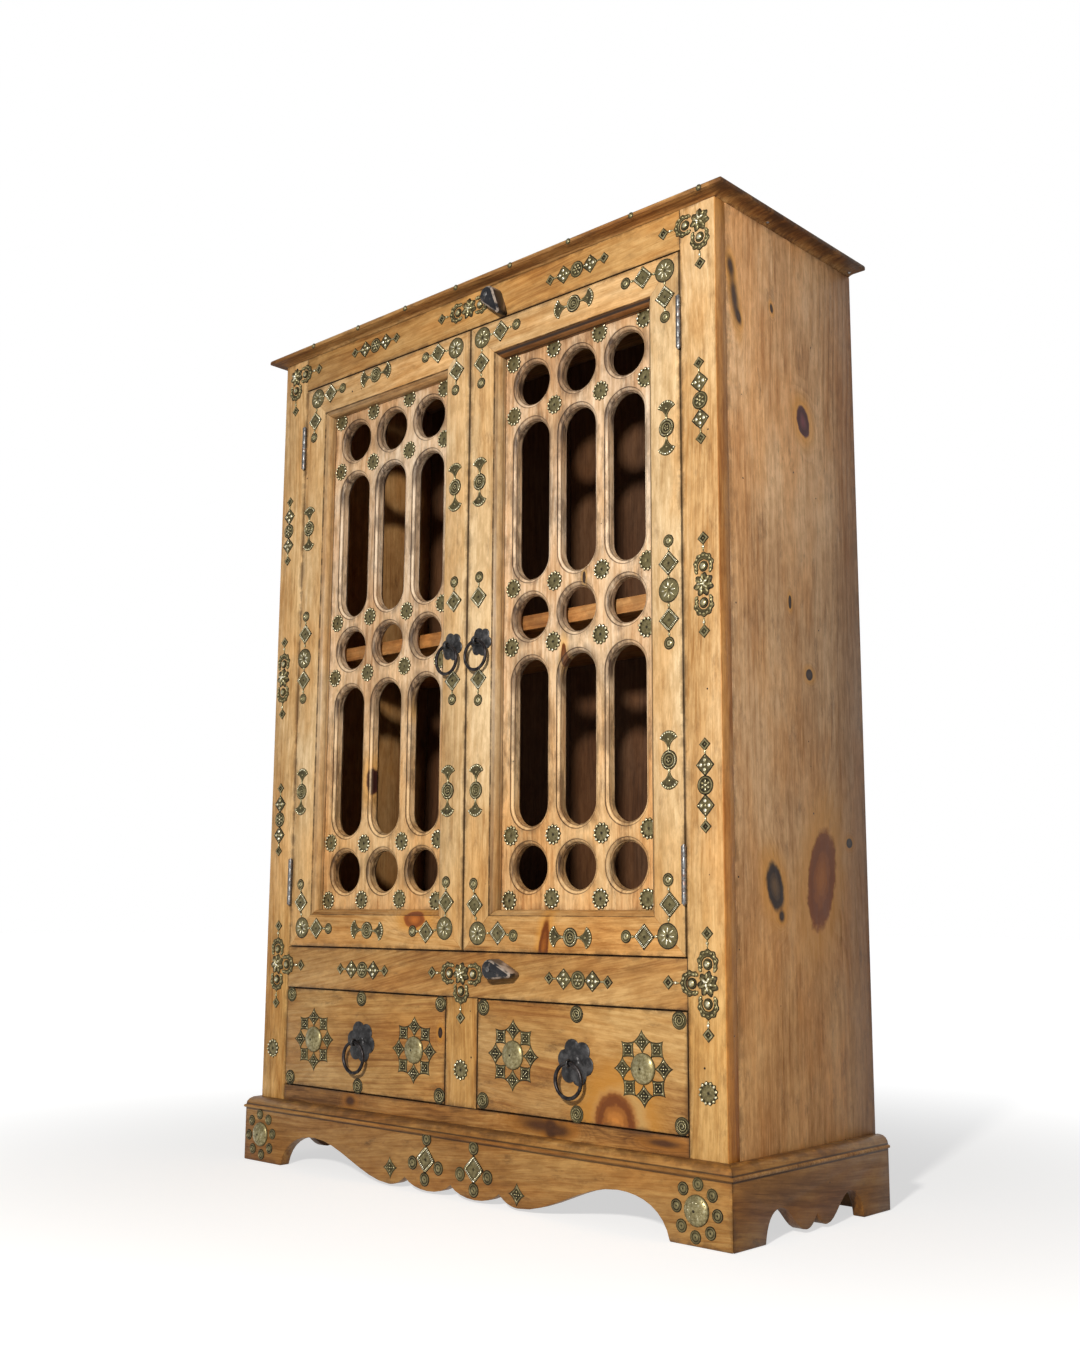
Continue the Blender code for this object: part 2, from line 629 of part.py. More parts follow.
def flower(radius):
    """Outline of a plate with round petals, as the outer edge of circles set in a ring."""
    petal = radius * PETAL_SHARE
    out = radius - petal
    points = []
    for k in range(PLATE_PETALS):
        for i in range(PETAL_STEPS):
            off = math.pi / PLATE_PETALS * (2 * i / PETAL_STEPS - 1)
            reach = out * math.cos(off) + math.sqrt(petal**2 - (out * math.sin(off)) ** 2)
            turn = 2 * math.pi * k / PLATE_PETALS + off + math.pi / 2 + PETAL_TURN
            points.append((reach * math.cos(turn), reach * math.sin(turn)))
    return points


def ring_pull(name, place, plate_radius, ring_radius, wire, reach, body):
    """Flower plate with an eye standing out of it, and a ring that swings in the eye on the ring's own wire."""
    x, z = place
    bore = wire + EYE_CLEARANCE
    eye = bore + EYE_WALL
    back, front = -TOUCH_GAP, -TOUCH_GAP - PLATE_THICK
    rings = [[(x + u, y, z + v) for u, v in flower(plate_radius)] for y in (back, front)]
    plate = add_piece(f"{name}_plate", loft(rings), black_iron, body)
    stem = [(front + PLATE_THICK / 2, z - STEM_HEIGHT / 2), (front + PLATE_THICK / 2, z + STEM_HEIGHT / 2)]
    lean = math.asin(STEM_HEIGHT / 2 / eye)
    outline = [(-reach + eye * math.cos(t), z + eye * math.sin(t)) for t in eye_turns(lean)]
    eye_xs = (x - EYE_WIDTH / 2, x + EYE_WIDTH / 2)
    eye_rings = [[(u, y, v) for y, v in stem + outline] for u in eye_xs]
    boolean(plate, add_piece(f"{name}_eye", loft(eye_rings), black_iron, body), "UNION")
    bore_ends = ((eye_xs[0] - CUT_MARGIN, -reach, z), (eye_xs[1] + CUT_MARGIN, -reach, z))
    boolean(plate, add_piece(f"{name}_bore", rod(*bore_ends, bore, EYE_SIDES), black_iron, body), "DIFFERENCE")
    ring_body = add_body(f"{name}_ring_axis", (x, -reach, z), body)
    ring = add_piece(f"{name}_ring", torus((x, -reach, z - ring_radius), ring_radius, wire), black_iron, ring_body)
    round_off(ring)


def eye_turns(lean):
    """Angles round the eye, from one side of its stem to the other."""
    start, end = lean, 2 * math.pi - lean
    return [start + (end - start) * i / EYE_SIDES for i in range(EYE_SIDES + 1)]


def torus(centre, radius, wire):
    """A ring of round wire that hangs in the X-Z plane."""
    bm = bmesh.new()
    loops = []
    for i in range(RING_STEPS):
        turn = 2 * math.pi * i / RING_STEPS
        loop = []
        for j in range(RING_SIDES):
            around = 2 * math.pi * j / RING_SIDES
            out = radius + wire * math.cos(around)
            place = (math.cos(turn) * out, wire * math.sin(around), math.sin(turn) * out)
            loop.append(bm.verts.new(Vector(centre) + Vector(place)))
        loops.append(loop)
    for i, here in enumerate(loops):
        there = loops[(i + 1) % RING_STEPS]
        for j in range(RING_SIDES):
            k = (j + 1) % RING_SIDES
            bm.faces.new((here[j], here[k], there[k], there[j]))
    return bm


def door(word, side):
    """A mitred door on its hinge axis, with the pierced panel, two hinges and a ring pull."""
    axis = add_body(f"door_{word}_axis", (side * HINGE_X, HINGE_Y, DOOR_LOW), cabinet)
    low, high = DOOR_LOW + DOOR_GAP, DOOR_HIGH - DOOR_GAP
    name = f"door_{word}"
    door_member(f"{name}_hinge_stile", DOOR_HEIGHT, lambda s, w, d: (side * (DOOR_OUTER - w), d, low + s), axis)
    door_member(f"{name}_meeting_stile", DOOR_HEIGHT, lambda s, w, d: (side * (DOOR_INNER + w), d, low + s), axis)
    door_member(f"{name}_bottom_rail", DOOR_WIDTH, lambda s, w, d: (side * (DOOR_INNER + s), d, low + w), axis)
    door_member(f"{name}_top_rail", DOOR_WIDTH, lambda s, w, d: (side * (DOOR_INNER + s), d, high - w), axis)
    view_xs = sorted((side * (DOOR_INNER + DOOR_MEMBER), side * (DOOR_OUTER - DOOR_MEMBER)))
    pierced_panel(f"{name}_panel", view_xs, (low + DOOR_MEMBER, high - DOOR_MEMBER), axis)
    butt_hinge(f"hinge_{word}_lower", side, HINGE_LOW, axis)
    butt_hinge(f"hinge_{word}_upper", side, HINGE_HIGH, axis)
    pull_x = side * (DOOR_INNER + DOOR_MEMBER / 2)
    ring_pull(
        f"{name}_pull", (pull_x, DOOR_PULL_HEIGHT), DOOR_PLATE_RADIUS, DOOR_RING_RADIUS, DOOR_RING_WIRE, DOOR_EYE_REACH, axis
    )


def drawer(word, side):
    """A drawer that runs on the bottom board, flush with the face frame when shut."""
    middle = side * DRAWER_CENTRE
    slide = add_body(f"drawer_{word}_slide", (middle, 0.0, DRAWER_LOW), cabinet)
    name = f"drawer_{word}"
    ends = (middle - DRAWER_HALF, middle + DRAWER_HALF)
    front_zs = (DRAWER_LOW + DRAWER_GAP, DRAWER_HIGH - DRAWER_GAP)
    board(f"{name}_front", ends, (0.0, DRAWER_FRONT_THICK), front_zs, pine_frame, slide)
    run_low = DRAWER_LOW + TOUCH_GAP
    side_ys = (DRAWER_FRONT_THICK + TOUCH_GAP, DRAWER_LENGTH)
    side_zs = (run_low, DRAWER_HIGH - DRAWER_SIDE_DROP)
    for end, x, inward in (("left", ends[0], 1), ("right", ends[1], -1)):
        board(f"{name}_side_{end}", (x, x + inward * DRAWER_SIDE_THICK), side_ys, side_zs, pine_inside, slide)
    between = (ends[0] + DRAWER_SIDE_THICK + TOUCH_GAP, ends[1] - DRAWER_SIDE_THICK - TOUCH_GAP)
    floor_low = run_low + DRAWER_BOTTOM_LIFT
    floor_high = floor_low + DRAWER_BOTTOM_THICK
    board(f"{name}_bottom", between, (side_ys[0], DRAWER_LENGTH), (floor_low, floor_high), pine_inside, slide)
    back_zs = (floor_high + TOUCH_GAP, side_zs[1])
    board(f"{name}_back", between, (DRAWER_LENGTH - DRAWER_SIDE_THICK, DRAWER_LENGTH), back_zs, pine_inside, slide)
    ring_pull(
        f"{name}_pull", (middle, DRAWER_PULL_HEIGHT), DRAWER_PLATE_RADIUS, DRAWER_RING_RADIUS, DRAWER_RING_WIRE,
        DRAWER_EYE_REACH, slide,
    )


for word, side in SIDES:
    door(word, side)
for word, side in SIDES:
    drawer(word, side)


def teardrop(angle, inset):
    """Outline of a turn-button about its pivot, its tip at that angle up from the right, drawn in by inset."""
    spread = math.acos((LATCH_HEAD_RADIUS - LATCH_TIP_RADIUS) / LATCH_TIP_OUT)
    tip = (LATCH_TIP_OUT * math.cos(angle), LATCH_TIP_OUT * math.sin(angle))
    head_turns = (angle + spread, angle + 2 * math.pi - spread)
    head = arc((0.0, 0.0), LATCH_HEAD_RADIUS - inset, *head_turns, LATCH_STEPS)
    return head + arc(tip, LATCH_TIP_RADIUS - inset, angle - spread, angle + spread, LATCH_STEPS // 2)


def turn_button(word, x, z, angle, rail):
    """Thick wooden button that turns on a screw in the rail, with its front edge chamfered."""
    axis = add_body(f"latch_{word}_axis", (x, 0.0, z), cabinet)
    levels = ((0.0, -TOUCH_GAP), (0.0, -LATCH_FRONT + LATCH_CHAMFER), (LATCH_CHAMFER, -LATCH_FRONT))
    rings = [[(x + u, y, z + v) for u, v in teardrop(angle, inset)] for inset, y in levels]
    button = add_piece(f"latch_{word}_button", loft(rings), worn_black, axis)
    hole_ends = ((x, CUT_MARGIN, z), (x, -LATCH_FRONT - CUT_MARGIN, z))
    hole_mesh = rod(*hole_ends, SCREW_RADIUS + SCREW_CLEARANCE, SCREW_SIDES)
    boolean(button, add_piece(f"latch_{word}_hole", hole_mesh, worn_black, axis), "DIFFERENCE")
    pilot_ends = ((x, -CUT_MARGIN, z), (x, SCREW_DEPTH + TOUCH_GAP, z))
    pilot_mesh = rod(*pilot_ends, SCREW_RADIUS + SCREW_CLEARANCE, SCREW_SIDES)
    boolean(rail, add_piece(f"latch_{word}_pilot", pilot_mesh, pine_frame, cabinet), "DIFFERENCE")
    under = -LATCH_FRONT - TOUCH_GAP
    sections = (
        (SCREW_RADIUS, SCREW_DEPTH),
        (SCREW_RADIUS, under),
        (SCREW_HEAD_RADIUS, under),
        (SCREW_HEAD_RADIUS * 0.7, under - SCREW_HEAD_HEIGHT),
    )
    turns = [2 * math.pi * i / SCREW_SIDES for i in range(SCREW_SIDES)]
    rings = [[(x + r * math.cos(t), y, z + r * math.sin(t)) for t in turns] for r, y in sections]
    add_piece(f"latch_{word}_screw", loft(rings), hinge_steel, cabinet)


turn_button("upper", UPPER_LATCH_X, UPPER_LATCH_Z, UPPER_LATCH_ANGLE, face_rail_top)
turn_button("lower", LOWER_LATCH_X, LOWER_LATCH_Z, LOWER_LATCH_ANGLE, face_rail_middle)
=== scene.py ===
# The bookcase stands on a pale studio floor, seen from low down on its right, a little above knee height.
# A soft lamp hangs in front of it to the right, above eye level, and a pale room fills in the rest.
import math

import bmesh
import bpy
from mathutils import Euler, Matrix, Vector


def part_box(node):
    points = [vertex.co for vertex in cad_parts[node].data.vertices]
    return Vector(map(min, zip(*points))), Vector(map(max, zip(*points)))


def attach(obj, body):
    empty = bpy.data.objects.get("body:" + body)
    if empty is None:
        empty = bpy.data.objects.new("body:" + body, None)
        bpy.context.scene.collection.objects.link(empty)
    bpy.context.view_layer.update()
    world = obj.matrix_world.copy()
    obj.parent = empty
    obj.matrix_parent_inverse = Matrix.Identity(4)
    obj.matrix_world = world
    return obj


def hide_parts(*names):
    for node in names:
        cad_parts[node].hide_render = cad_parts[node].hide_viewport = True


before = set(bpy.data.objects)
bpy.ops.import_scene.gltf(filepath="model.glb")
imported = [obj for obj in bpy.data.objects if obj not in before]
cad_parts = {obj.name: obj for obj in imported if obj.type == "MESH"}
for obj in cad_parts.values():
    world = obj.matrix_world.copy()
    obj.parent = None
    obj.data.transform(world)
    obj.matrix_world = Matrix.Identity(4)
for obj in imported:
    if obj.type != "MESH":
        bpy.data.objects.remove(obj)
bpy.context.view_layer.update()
face_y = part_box("face_rail_middle")[0].y

camera_place = Vector((1.968, face_y - 1.9078, 0.5023))
camera_yaw = math.radians(42.949)
camera_pitch = math.radians(9.356)
camera_roll = math.radians(0.318)
ahead = Vector((
    -math.sin(camera_yaw) * math.cos(camera_pitch),
    math.cos(camera_yaw) * math.cos(camera_pitch),
    math.sin(camera_pitch),
))
level_right = Vector((math.cos(camera_yaw), math.sin(camera_yaw), 0.0))
level_up = level_right.cross(ahead)
camera_right = level_right * math.cos(camera_roll) + level_up * math.sin(camera_roll)
camera_up = level_up * math.cos(camera_roll) - level_right * math.sin(camera_roll)
camera_data = bpy.data.cameras.new("camera")
camera_data.lens = 38.793
camera_data.sensor_width = 36.0
camera_data.clip_end = 200.0
camera = bpy.data.objects.new("camera", camera_data)
camera.matrix_world = (
    Matrix.Translation(camera_place) @ Matrix((camera_right, camera_up, -ahead)).transposed().to_4x4()
)
bpy.context.scene.collection.objects.link(camera)
bpy.context.scene.camera = camera
bpy.context.scene.view_settings.view_transform = "Standard"


def add_node(tree, kind, inputs=None, **settings):
    """A shader node with its settings made; an input that is given a socket is linked to it."""
    made = tree.nodes.new(f"ShaderNode{kind}")
    for name, setting in settings.items():
        setattr(made, name, setting)
    for key, value in (inputs or {}).items():
        if isinstance(value, bpy.types.NodeSocket):
            tree.links.new(value, made.inputs[key])
        else:
            made.inputs[key].default_value = value
    return made


def maths(tree, operation, *values):
    return add_node(tree, "Math", dict(enumerate(values)), operation=operation).outputs[0]


def vectors(tree, operation, *values):
    """A step of vector maths; a length or a dot product gives a number."""
    made = add_node(tree, "VectorMath", dict(enumerate(values)), operation=operation)
    return made.outputs["Value" if operation in ("LENGTH", "DOT_PRODUCT") else "Vector"]


def spread(tree, value, low, high, to_low=0.0, to_high=1.0):
    """Takes a value from one range to another with soft ends."""
    inputs = {"Value": value, "From Min": low, "From Max": high, "To Min": to_low, "To Max": to_high}
    return add_node(tree, "MapRange", inputs, interpolation_type="SMOOTHSTEP").outputs["Result"]


lamp_data = bpy.data.lights.new("front_lamp", "AREA")
lamp_data.shape = "DISK"
lamp_data.size = 0.24
lamp_data.energy = 112.0
lamp_data.color = (1.0, 0.965, 0.91)
lamp = bpy.data.objects.new("front_lamp", lamp_data)
lamp_aim = Vector((0.0, 0.0, 0.9))
lamp.location = (1.58, face_y - 2.8, 1.62)
lamp.rotation_euler = (lamp_aim - lamp.location).to_track_quat("-Z", "Y").to_euler()
bpy.context.scene.collection.objects.link(lamp)

ROOM_LEVEL = 0.11
DIM_END = (-0.62, -0.78, 0.05)
DIM_LEVEL = 0.42
room = bpy.data.worlds.new("room")
room.use_nodes = True
bpy.context.scene.world = room
room_tree = room.node_tree
path = add_node(room_tree, "LightPath")
direction = add_node(room_tree, "TexCoord").outputs["Generated"]
to_dim_end = vectors(room_tree, "DOT_PRODUCT", direction, DIM_END)
reflected = spread(room_tree, to_dim_end, 0.45, 0.95, 1.0, DIM_LEVEL)
unseen = spread(room_tree, path.outputs["Is Glossy Ray"], 0.0, 1.0, ROOM_LEVEL, reflected)
seen = maths(room_tree, "MAXIMUM", path.outputs["Is Camera Ray"], path.outputs["Is Transmission Ray"])
room_shade = room_tree.nodes["Background"]
room_shade.inputs["Color"].default_value = (1.0, 1.0, 1.0, 1.0)
room_tree.links.new(spread(room_tree, seen, 0.0, 1.0, unseen, 1.0), room_shade.inputs["Strength"])

FLOOR_SIZE = 60.0
FLOOR_DROP = 0.0005
FLOOR_GREY = (0.55, 0.55, 0.55, 1.0)
SHADOW_REACH = (0.6, 2.4)
SHADOW_LEVEL = 0.62


def settled(name):
    """The primitive just added, named, with its place worked into its mesh."""
    piece = bpy.context.active_object
    piece.name = name
    bpy.ops.object.transform_apply(location=True, rotation=True, scale=True)
    return piece


bpy.ops.object.select_all(action="DESELECT")
bpy.ops.mesh.primitive_grid_add(
    x_subdivisions=8, y_subdivisions=8, size=FLOOR_SIZE, location=(0.0, 0.0, -FLOOR_DROP),
)
floor = settled("studio_floor")
floor_paint = bpy.data.materials.new("pale_floor")
floor_paint.use_nodes = True
tree = floor_paint.node_tree
tree.nodes.remove(tree.nodes["Principled BSDF"])
from_middle = vectors(tree, "LENGTH", add_node(tree, "TexCoord").outputs["Object"])
# The floor's glow for the camera is dimmed near the bookcase, a painted shadow round its foot.
glow = spread(tree, from_middle, *SHADOW_REACH, SHADOW_LEVEL, 1.0)
path = add_node(tree, "LightPath")
seen = maths(tree, "MAXIMUM", path.outputs["Is Camera Ray"], path.outputs["Is Glossy Ray"])
matt = add_node(tree, "BsdfDiffuse", {"Color": FLOOR_GREY})
light = add_node(tree, "Emission", {"Strength": maths(tree, "MULTIPLY", glow, seen)})
both = add_node(tree, "AddShader", {0: matt.outputs[0], 1: light.outputs[0]})
tree.links.new(both.outputs[0], tree.nodes["Material Output"].inputs["Surface"])
floor.data.materials.append(floor_paint)


# The carcase is a box of wide glued-up pine boards, waxed and darkened with age.
# The two sides run the full height and carry the knots; the boards inside are rougher and duller.
def new_group(name, inputs, outputs):
    """An empty shader group that is given a place and other named values, and its two ends."""
    tree = bpy.data.node_groups.new(name, "ShaderNodeTree")
    for label, value in {"Vector": (0.0, 0.0, 0.0), **inputs}.items():
        kind = "Vector" if isinstance(value, tuple) else "Float"
        socket = tree.interface.new_socket(label, in_out="INPUT", socket_type=f"NodeSocket{kind}")
        socket.default_value = value
    for label in outputs:
        kind = "Color" if label == "Colour" else "Float"
        tree.interface.new_socket(label, in_out="OUTPUT", socket_type=f"NodeSocket{kind}")
    return tree, tree.nodes.new("NodeGroupInput").outputs, tree.nodes.new("NodeGroupOutput").inputs


def tell(tree, told, **values):
    """Links a group's results to its named outputs."""
    for label, value in values.items():
        tree.links.new(value, told[label])


def use_group(tree, name, inputs):
    return add_node(tree, "Group", inputs, node_tree=bpy.data.node_groups[name]).outputs


def noise(tree, vector, scale, detail=2.0, roughness=0.55, output="Fac"):
    """Cloudy noise; scale is how many swells there are in a metre along each axis."""
    stretched = add_node(tree, "Mapping", {"Vector": vector, "Scale": scale})
    inputs = {"Vector": stretched.outputs[0], "Scale": 1.0, "Detail": detail, "Roughness": roughness}
    return add_node(tree, "TexNoise", inputs).outputs[output]


def swing(tree, vector, scale, detail, reach):
    """How far the grain strays from straight: a cloudy push of up to half its reach either way."""
    push = vectors(tree, "SUBTRACT", noise(tree, vector, scale, detail, output="Color"), (0.5, 0.5, 0.5))
    return vectors(tree, "MULTIPLY", push, (reach, reach, reach))


def band(tree, value, rise, full, ebb, gone):
    """How far a value is within a band with soft edges: in from rise to full, and out from ebb to gone."""
    return maths(tree, "SUBTRACT", spread(tree, value, rise, full), spread(tree, value, ebb, gone))


def blend(tree, factor, first, second, mode="MIX"):
    inputs = {0: factor, 6: first, 7: second}
    return add_node(tree, "Mix", inputs, data_type="RGBA", blend_type=mode).outputs[2]


def colour_steps(tree, value, stops):
    ramp = add_node(tree, "ValToRGB", {"Fac": value})
    ramp.color_ramp.elements.remove(ramp.color_ramp.elements[1])
    for number, (at, colour) in enumerate(stops):
        stop = ramp.color_ramp.elements[0] if number == 0 else ramp.color_ramp.elements.new(at)
        stop.position = at
        stop.color = (*colour, 1.0)
    return ramp.outputs["Color"]


# Grain: growth rings round a heart that wanders behind the board, which runs along Z of its own place.
tree, given, told = new_group("pine_grain", {"Bulge": 0.0, "Ring Width": 0.009}, ["Tone", "Height", "Warmth"])
slow = swing(tree, given["Vector"], (2.6, 2.6, 0.9), 1.0, 0.10)
quick = swing(tree, given["Vector"], (11.0, 11.0, 3.5), 2.0, 0.012)
heart = vectors(tree, "ADD", given["Vector"], vectors(tree, "ADD", slow, quick))
radius = vectors(tree, "LENGTH", vectors(tree, "MULTIPLY", heart, (1.0, 1.0, 0.0)))
radius = maths(tree, "ADD", radius, given["Bulge"])
year = maths(tree, "FRACT", maths(tree, "DIVIDE", radius, given["Ring Width"]))
clear = spread(tree, noise(tree, given["Vector"], (6.0, 6.0, 0.9)), 0.35, 0.65, 0.25, 1.0)
ring = maths(tree, "MULTIPLY", band(tree, year, 0.25, 0.86, 0.90, 1.0), clear)
fibre = spread(tree, noise(tree, heart, (430.0, 430.0, 11.0), 3.0, 0.6), 0.30, 0.70)
thread = spread(tree, noise(tree, heart, (120.0, 120.0, 4.5), 4.0, 0.62), 0.30, 0.70)
cloud = spread(tree, noise(tree, given["Vector"], (11.0, 11.0, 3.2), 3.0), 0.32, 0.68)
streak = spread(tree, noise(tree, heart, (48.0, 48.0, 3.0), 4.0, 0.62), 0.58, 0.76)
tone = maths(tree, "MULTIPLY", ring, 0.13)
for mark, share in ((fibre, 0.20), (thread, 0.24), (cloud, 0.36), (streak, 0.24)):
    tone = maths(tree, "MULTIPLY_ADD", mark, share, tone)
warmth = spread(tree, noise(tree, given["Vector"], (13.0, 13.0, 4.0), 4.0, 0.6), 0.42, 0.66)
tell(tree, told, Tone=tone, Height=maths(tree, "MULTIPLY_ADD", fibre, 0.5, ring), Warmth=warmth)

# Knot: the oval heart of a branch with its own rings, a stained halo, and the push it gives the grain.
KNOT_RAGGED = 0.34
KNOT_RINGS = 33.0
RING_PUSH = 0.035
tree, given, told = new_group(
    "pine_knot",
    {"Centre": (0.0, 0.0, 0.0), "Size": (1.0, 1.0, 1.0), "Softness": 0.09},
    ["Core", "Inward", "Halo", "Bulge"],
)
away = vectors(tree, "SUBTRACT", given["Vector"], given["Centre"])
away = vectors(tree, "LENGTH", vectors(tree, "DIVIDE", away, given["Size"]))
ragged = noise(tree, given["Vector"], (60.0, 60.0, 60.0), 2.0)
away = maths(tree, "MULTIPLY_ADD", maths(tree, "SUBTRACT", ragged, 0.5), KNOT_RAGGED, away)
inmost = maths(tree, "SUBTRACT", 1.0, given["Softness"])
outmost = maths(tree, "ADD", 1.0, given["Softness"])
rings = maths(tree, "SINE", maths(tree, "MULTIPLY", away, KNOT_RINGS))
tell(
    tree, told,
    Core=spread(tree, away, inmost, outmost, 1.0, 0.0),
    Inward=maths(tree, "MULTIPLY_ADD", rings, RING_PUSH, away),
    Halo=spread(tree, away, 0.95, 2.4, 1.0, 0.0),
    Bulge=spread(tree, away, 0.2, 3.2, 0.05, 0.0),
)

# Grime: old wax and dirt that gathers along a board's edges and ends, in an uneven band.
tree, given, told = new_group(
    "edge_grime", {"Low": (0.0, 0.0, 0.0), "High": (1.0, 1.0, 1.0), "Width": 0.01}, ["Mask", "Edge"],
)
from_low = vectors(tree, "SUBTRACT", given["Vector"], given["Low"])
from_high = vectors(tree, "SUBTRACT", given["High"], given["Vector"])
parts = add_node(tree, "SeparateXYZ", {0: vectors(tree, "MINIMUM", from_low, from_high)}).outputs
nearest = maths(tree, "MINIMUM", maths(tree, "MINIMUM", parts[0], parts[1]), parts[2])
uneven = noise(tree, given["Vector"], (30.0, 30.0, 30.0), 5.0, 0.66)
reach = maths(tree, "MULTIPLY", given["Width"], spread(tree, uneven, 0.34, 0.70, 0.25, 2.0))
edge = maths(tree, "SUBTRACT", 1.0, maths(tree, "DIVIDE", nearest, reach))
edge = maths(tree, "POWER", maths(tree, "MAXIMUM", edge, 0.0), 1.5)
mask = maths(tree, "MULTIPLY", edge, spread(tree, uneven, 0.30, 0.58))
tell(tree, told, Mask=mask, Edge=spread(tree, nearest, 0.0002, 0.0014, 1.0, 0.0))

# Marks: scattered nail holes and beetle holes, dents, and brown spots of old wax.
tree, given, told = new_group("old_marks", {}, ["Holes", "Spots", "Dents", "Mottle"])
cells = add_node(tree, "TexVoronoi", {"Vector": given["Vector"], "Scale": 27.0})
chosen = add_node(tree, "SeparateXYZ", {0: cells.outputs["Color"]}).outputs
size = spread(tree, chosen[1], 0.0, 1.0, 0.020, 0.052)
holes = maths(tree, "LESS_THAN", cells.outputs["Distance"], size)
spots = noise(tree, given["Vector"], (42.0, 42.0, 15.0), 6.0, 0.72)
mottle = noise(tree, given["Vector"], (80.0, 80.0, 26.0), 5.0, 0.68)
tell(
    tree, told,
    Holes=maths(tree, "MULTIPLY", holes, spread(tree, chosen[0], 0.64, 0.66)),
    Spots=spread(tree, spots, 0.53, 0.74),
    Dents=noise(tree, given["Vector"], (30.0, 30.0, 30.0), 2.0),
    Mottle=spread(tree, mottle, 0.36, 0.66),
)

LIES = {
    "upright": (0.0, 0.0, 0.0),
    "level": (0.0, -math.pi / 2, 0.0),
    "upright_side": (0.0, 0.0, math.pi / 2),
    "level_side": (math.pi / 2, 0.0, math.pi / 2),
    "level_flat": (0.0, -math.pi / 2, -math.pi / 2),
    "deep_flat": (math.pi / 2, 0.0, 0.0),
}
GRIME_BROWN = (0.070, 0.031, 0.011, 1.0)
JOINT_BLACK = (0.016, 0.008, 0.004, 1.0)
HOLE_BROWN = (0.018, 0.009, 0.005, 1.0)
HALO_TINT = (1.10, 0.88, 0.42)
RUBBED_TINT = (1.10, 1.12, 1.15, 1.0)
DULL_TINT = (0.84, 0.80, 0.74, 1.0)
WAX_ORANGE = (1.0, 0.76, 0.46, 1.0)
CRISP = 0.09
WARM_SHARE = 0.45
HALO_SHARE = 0.7
SKIN_DEPTH = (0.002, 0.007)
PINE_SHINE = 0.25
DENT_SHARE = 2.2
HOLE_SHARE = -4.0
PINE_RELIEF = (0.35, 0.0007)
ARRIS_ABOVE = math.radians(32.0)
SMOOTH_BELOW = math.radians(34.0)


def new_finish(name):
    """A new material, its tree, the object coordinates in it, and its shader."""
    material = bpy.data.materials.new(name)
    material.use_nodes = True
    tree = material.node_tree
    return material, tree, add_node(tree, "TexCoord").outputs["Object"], tree.nodes["Principled BSDF"]


def surface(tree, shader, colour, roughness, relief, strength, depth):
    """Gives a shader its colour and roughness, and relief of some depth where there is any."""
    tree.links.new(colour, shader.inputs["Base Color"])
    tree.links.new(roughness, shader.inputs["Roughness"])
    if strength:
        bump = add_node(tree, "Bump", {"Height": relief, "Strength": strength, "Distance": depth})
        tree.links.new(bump.outputs[0], shader.inputs["Normal"])


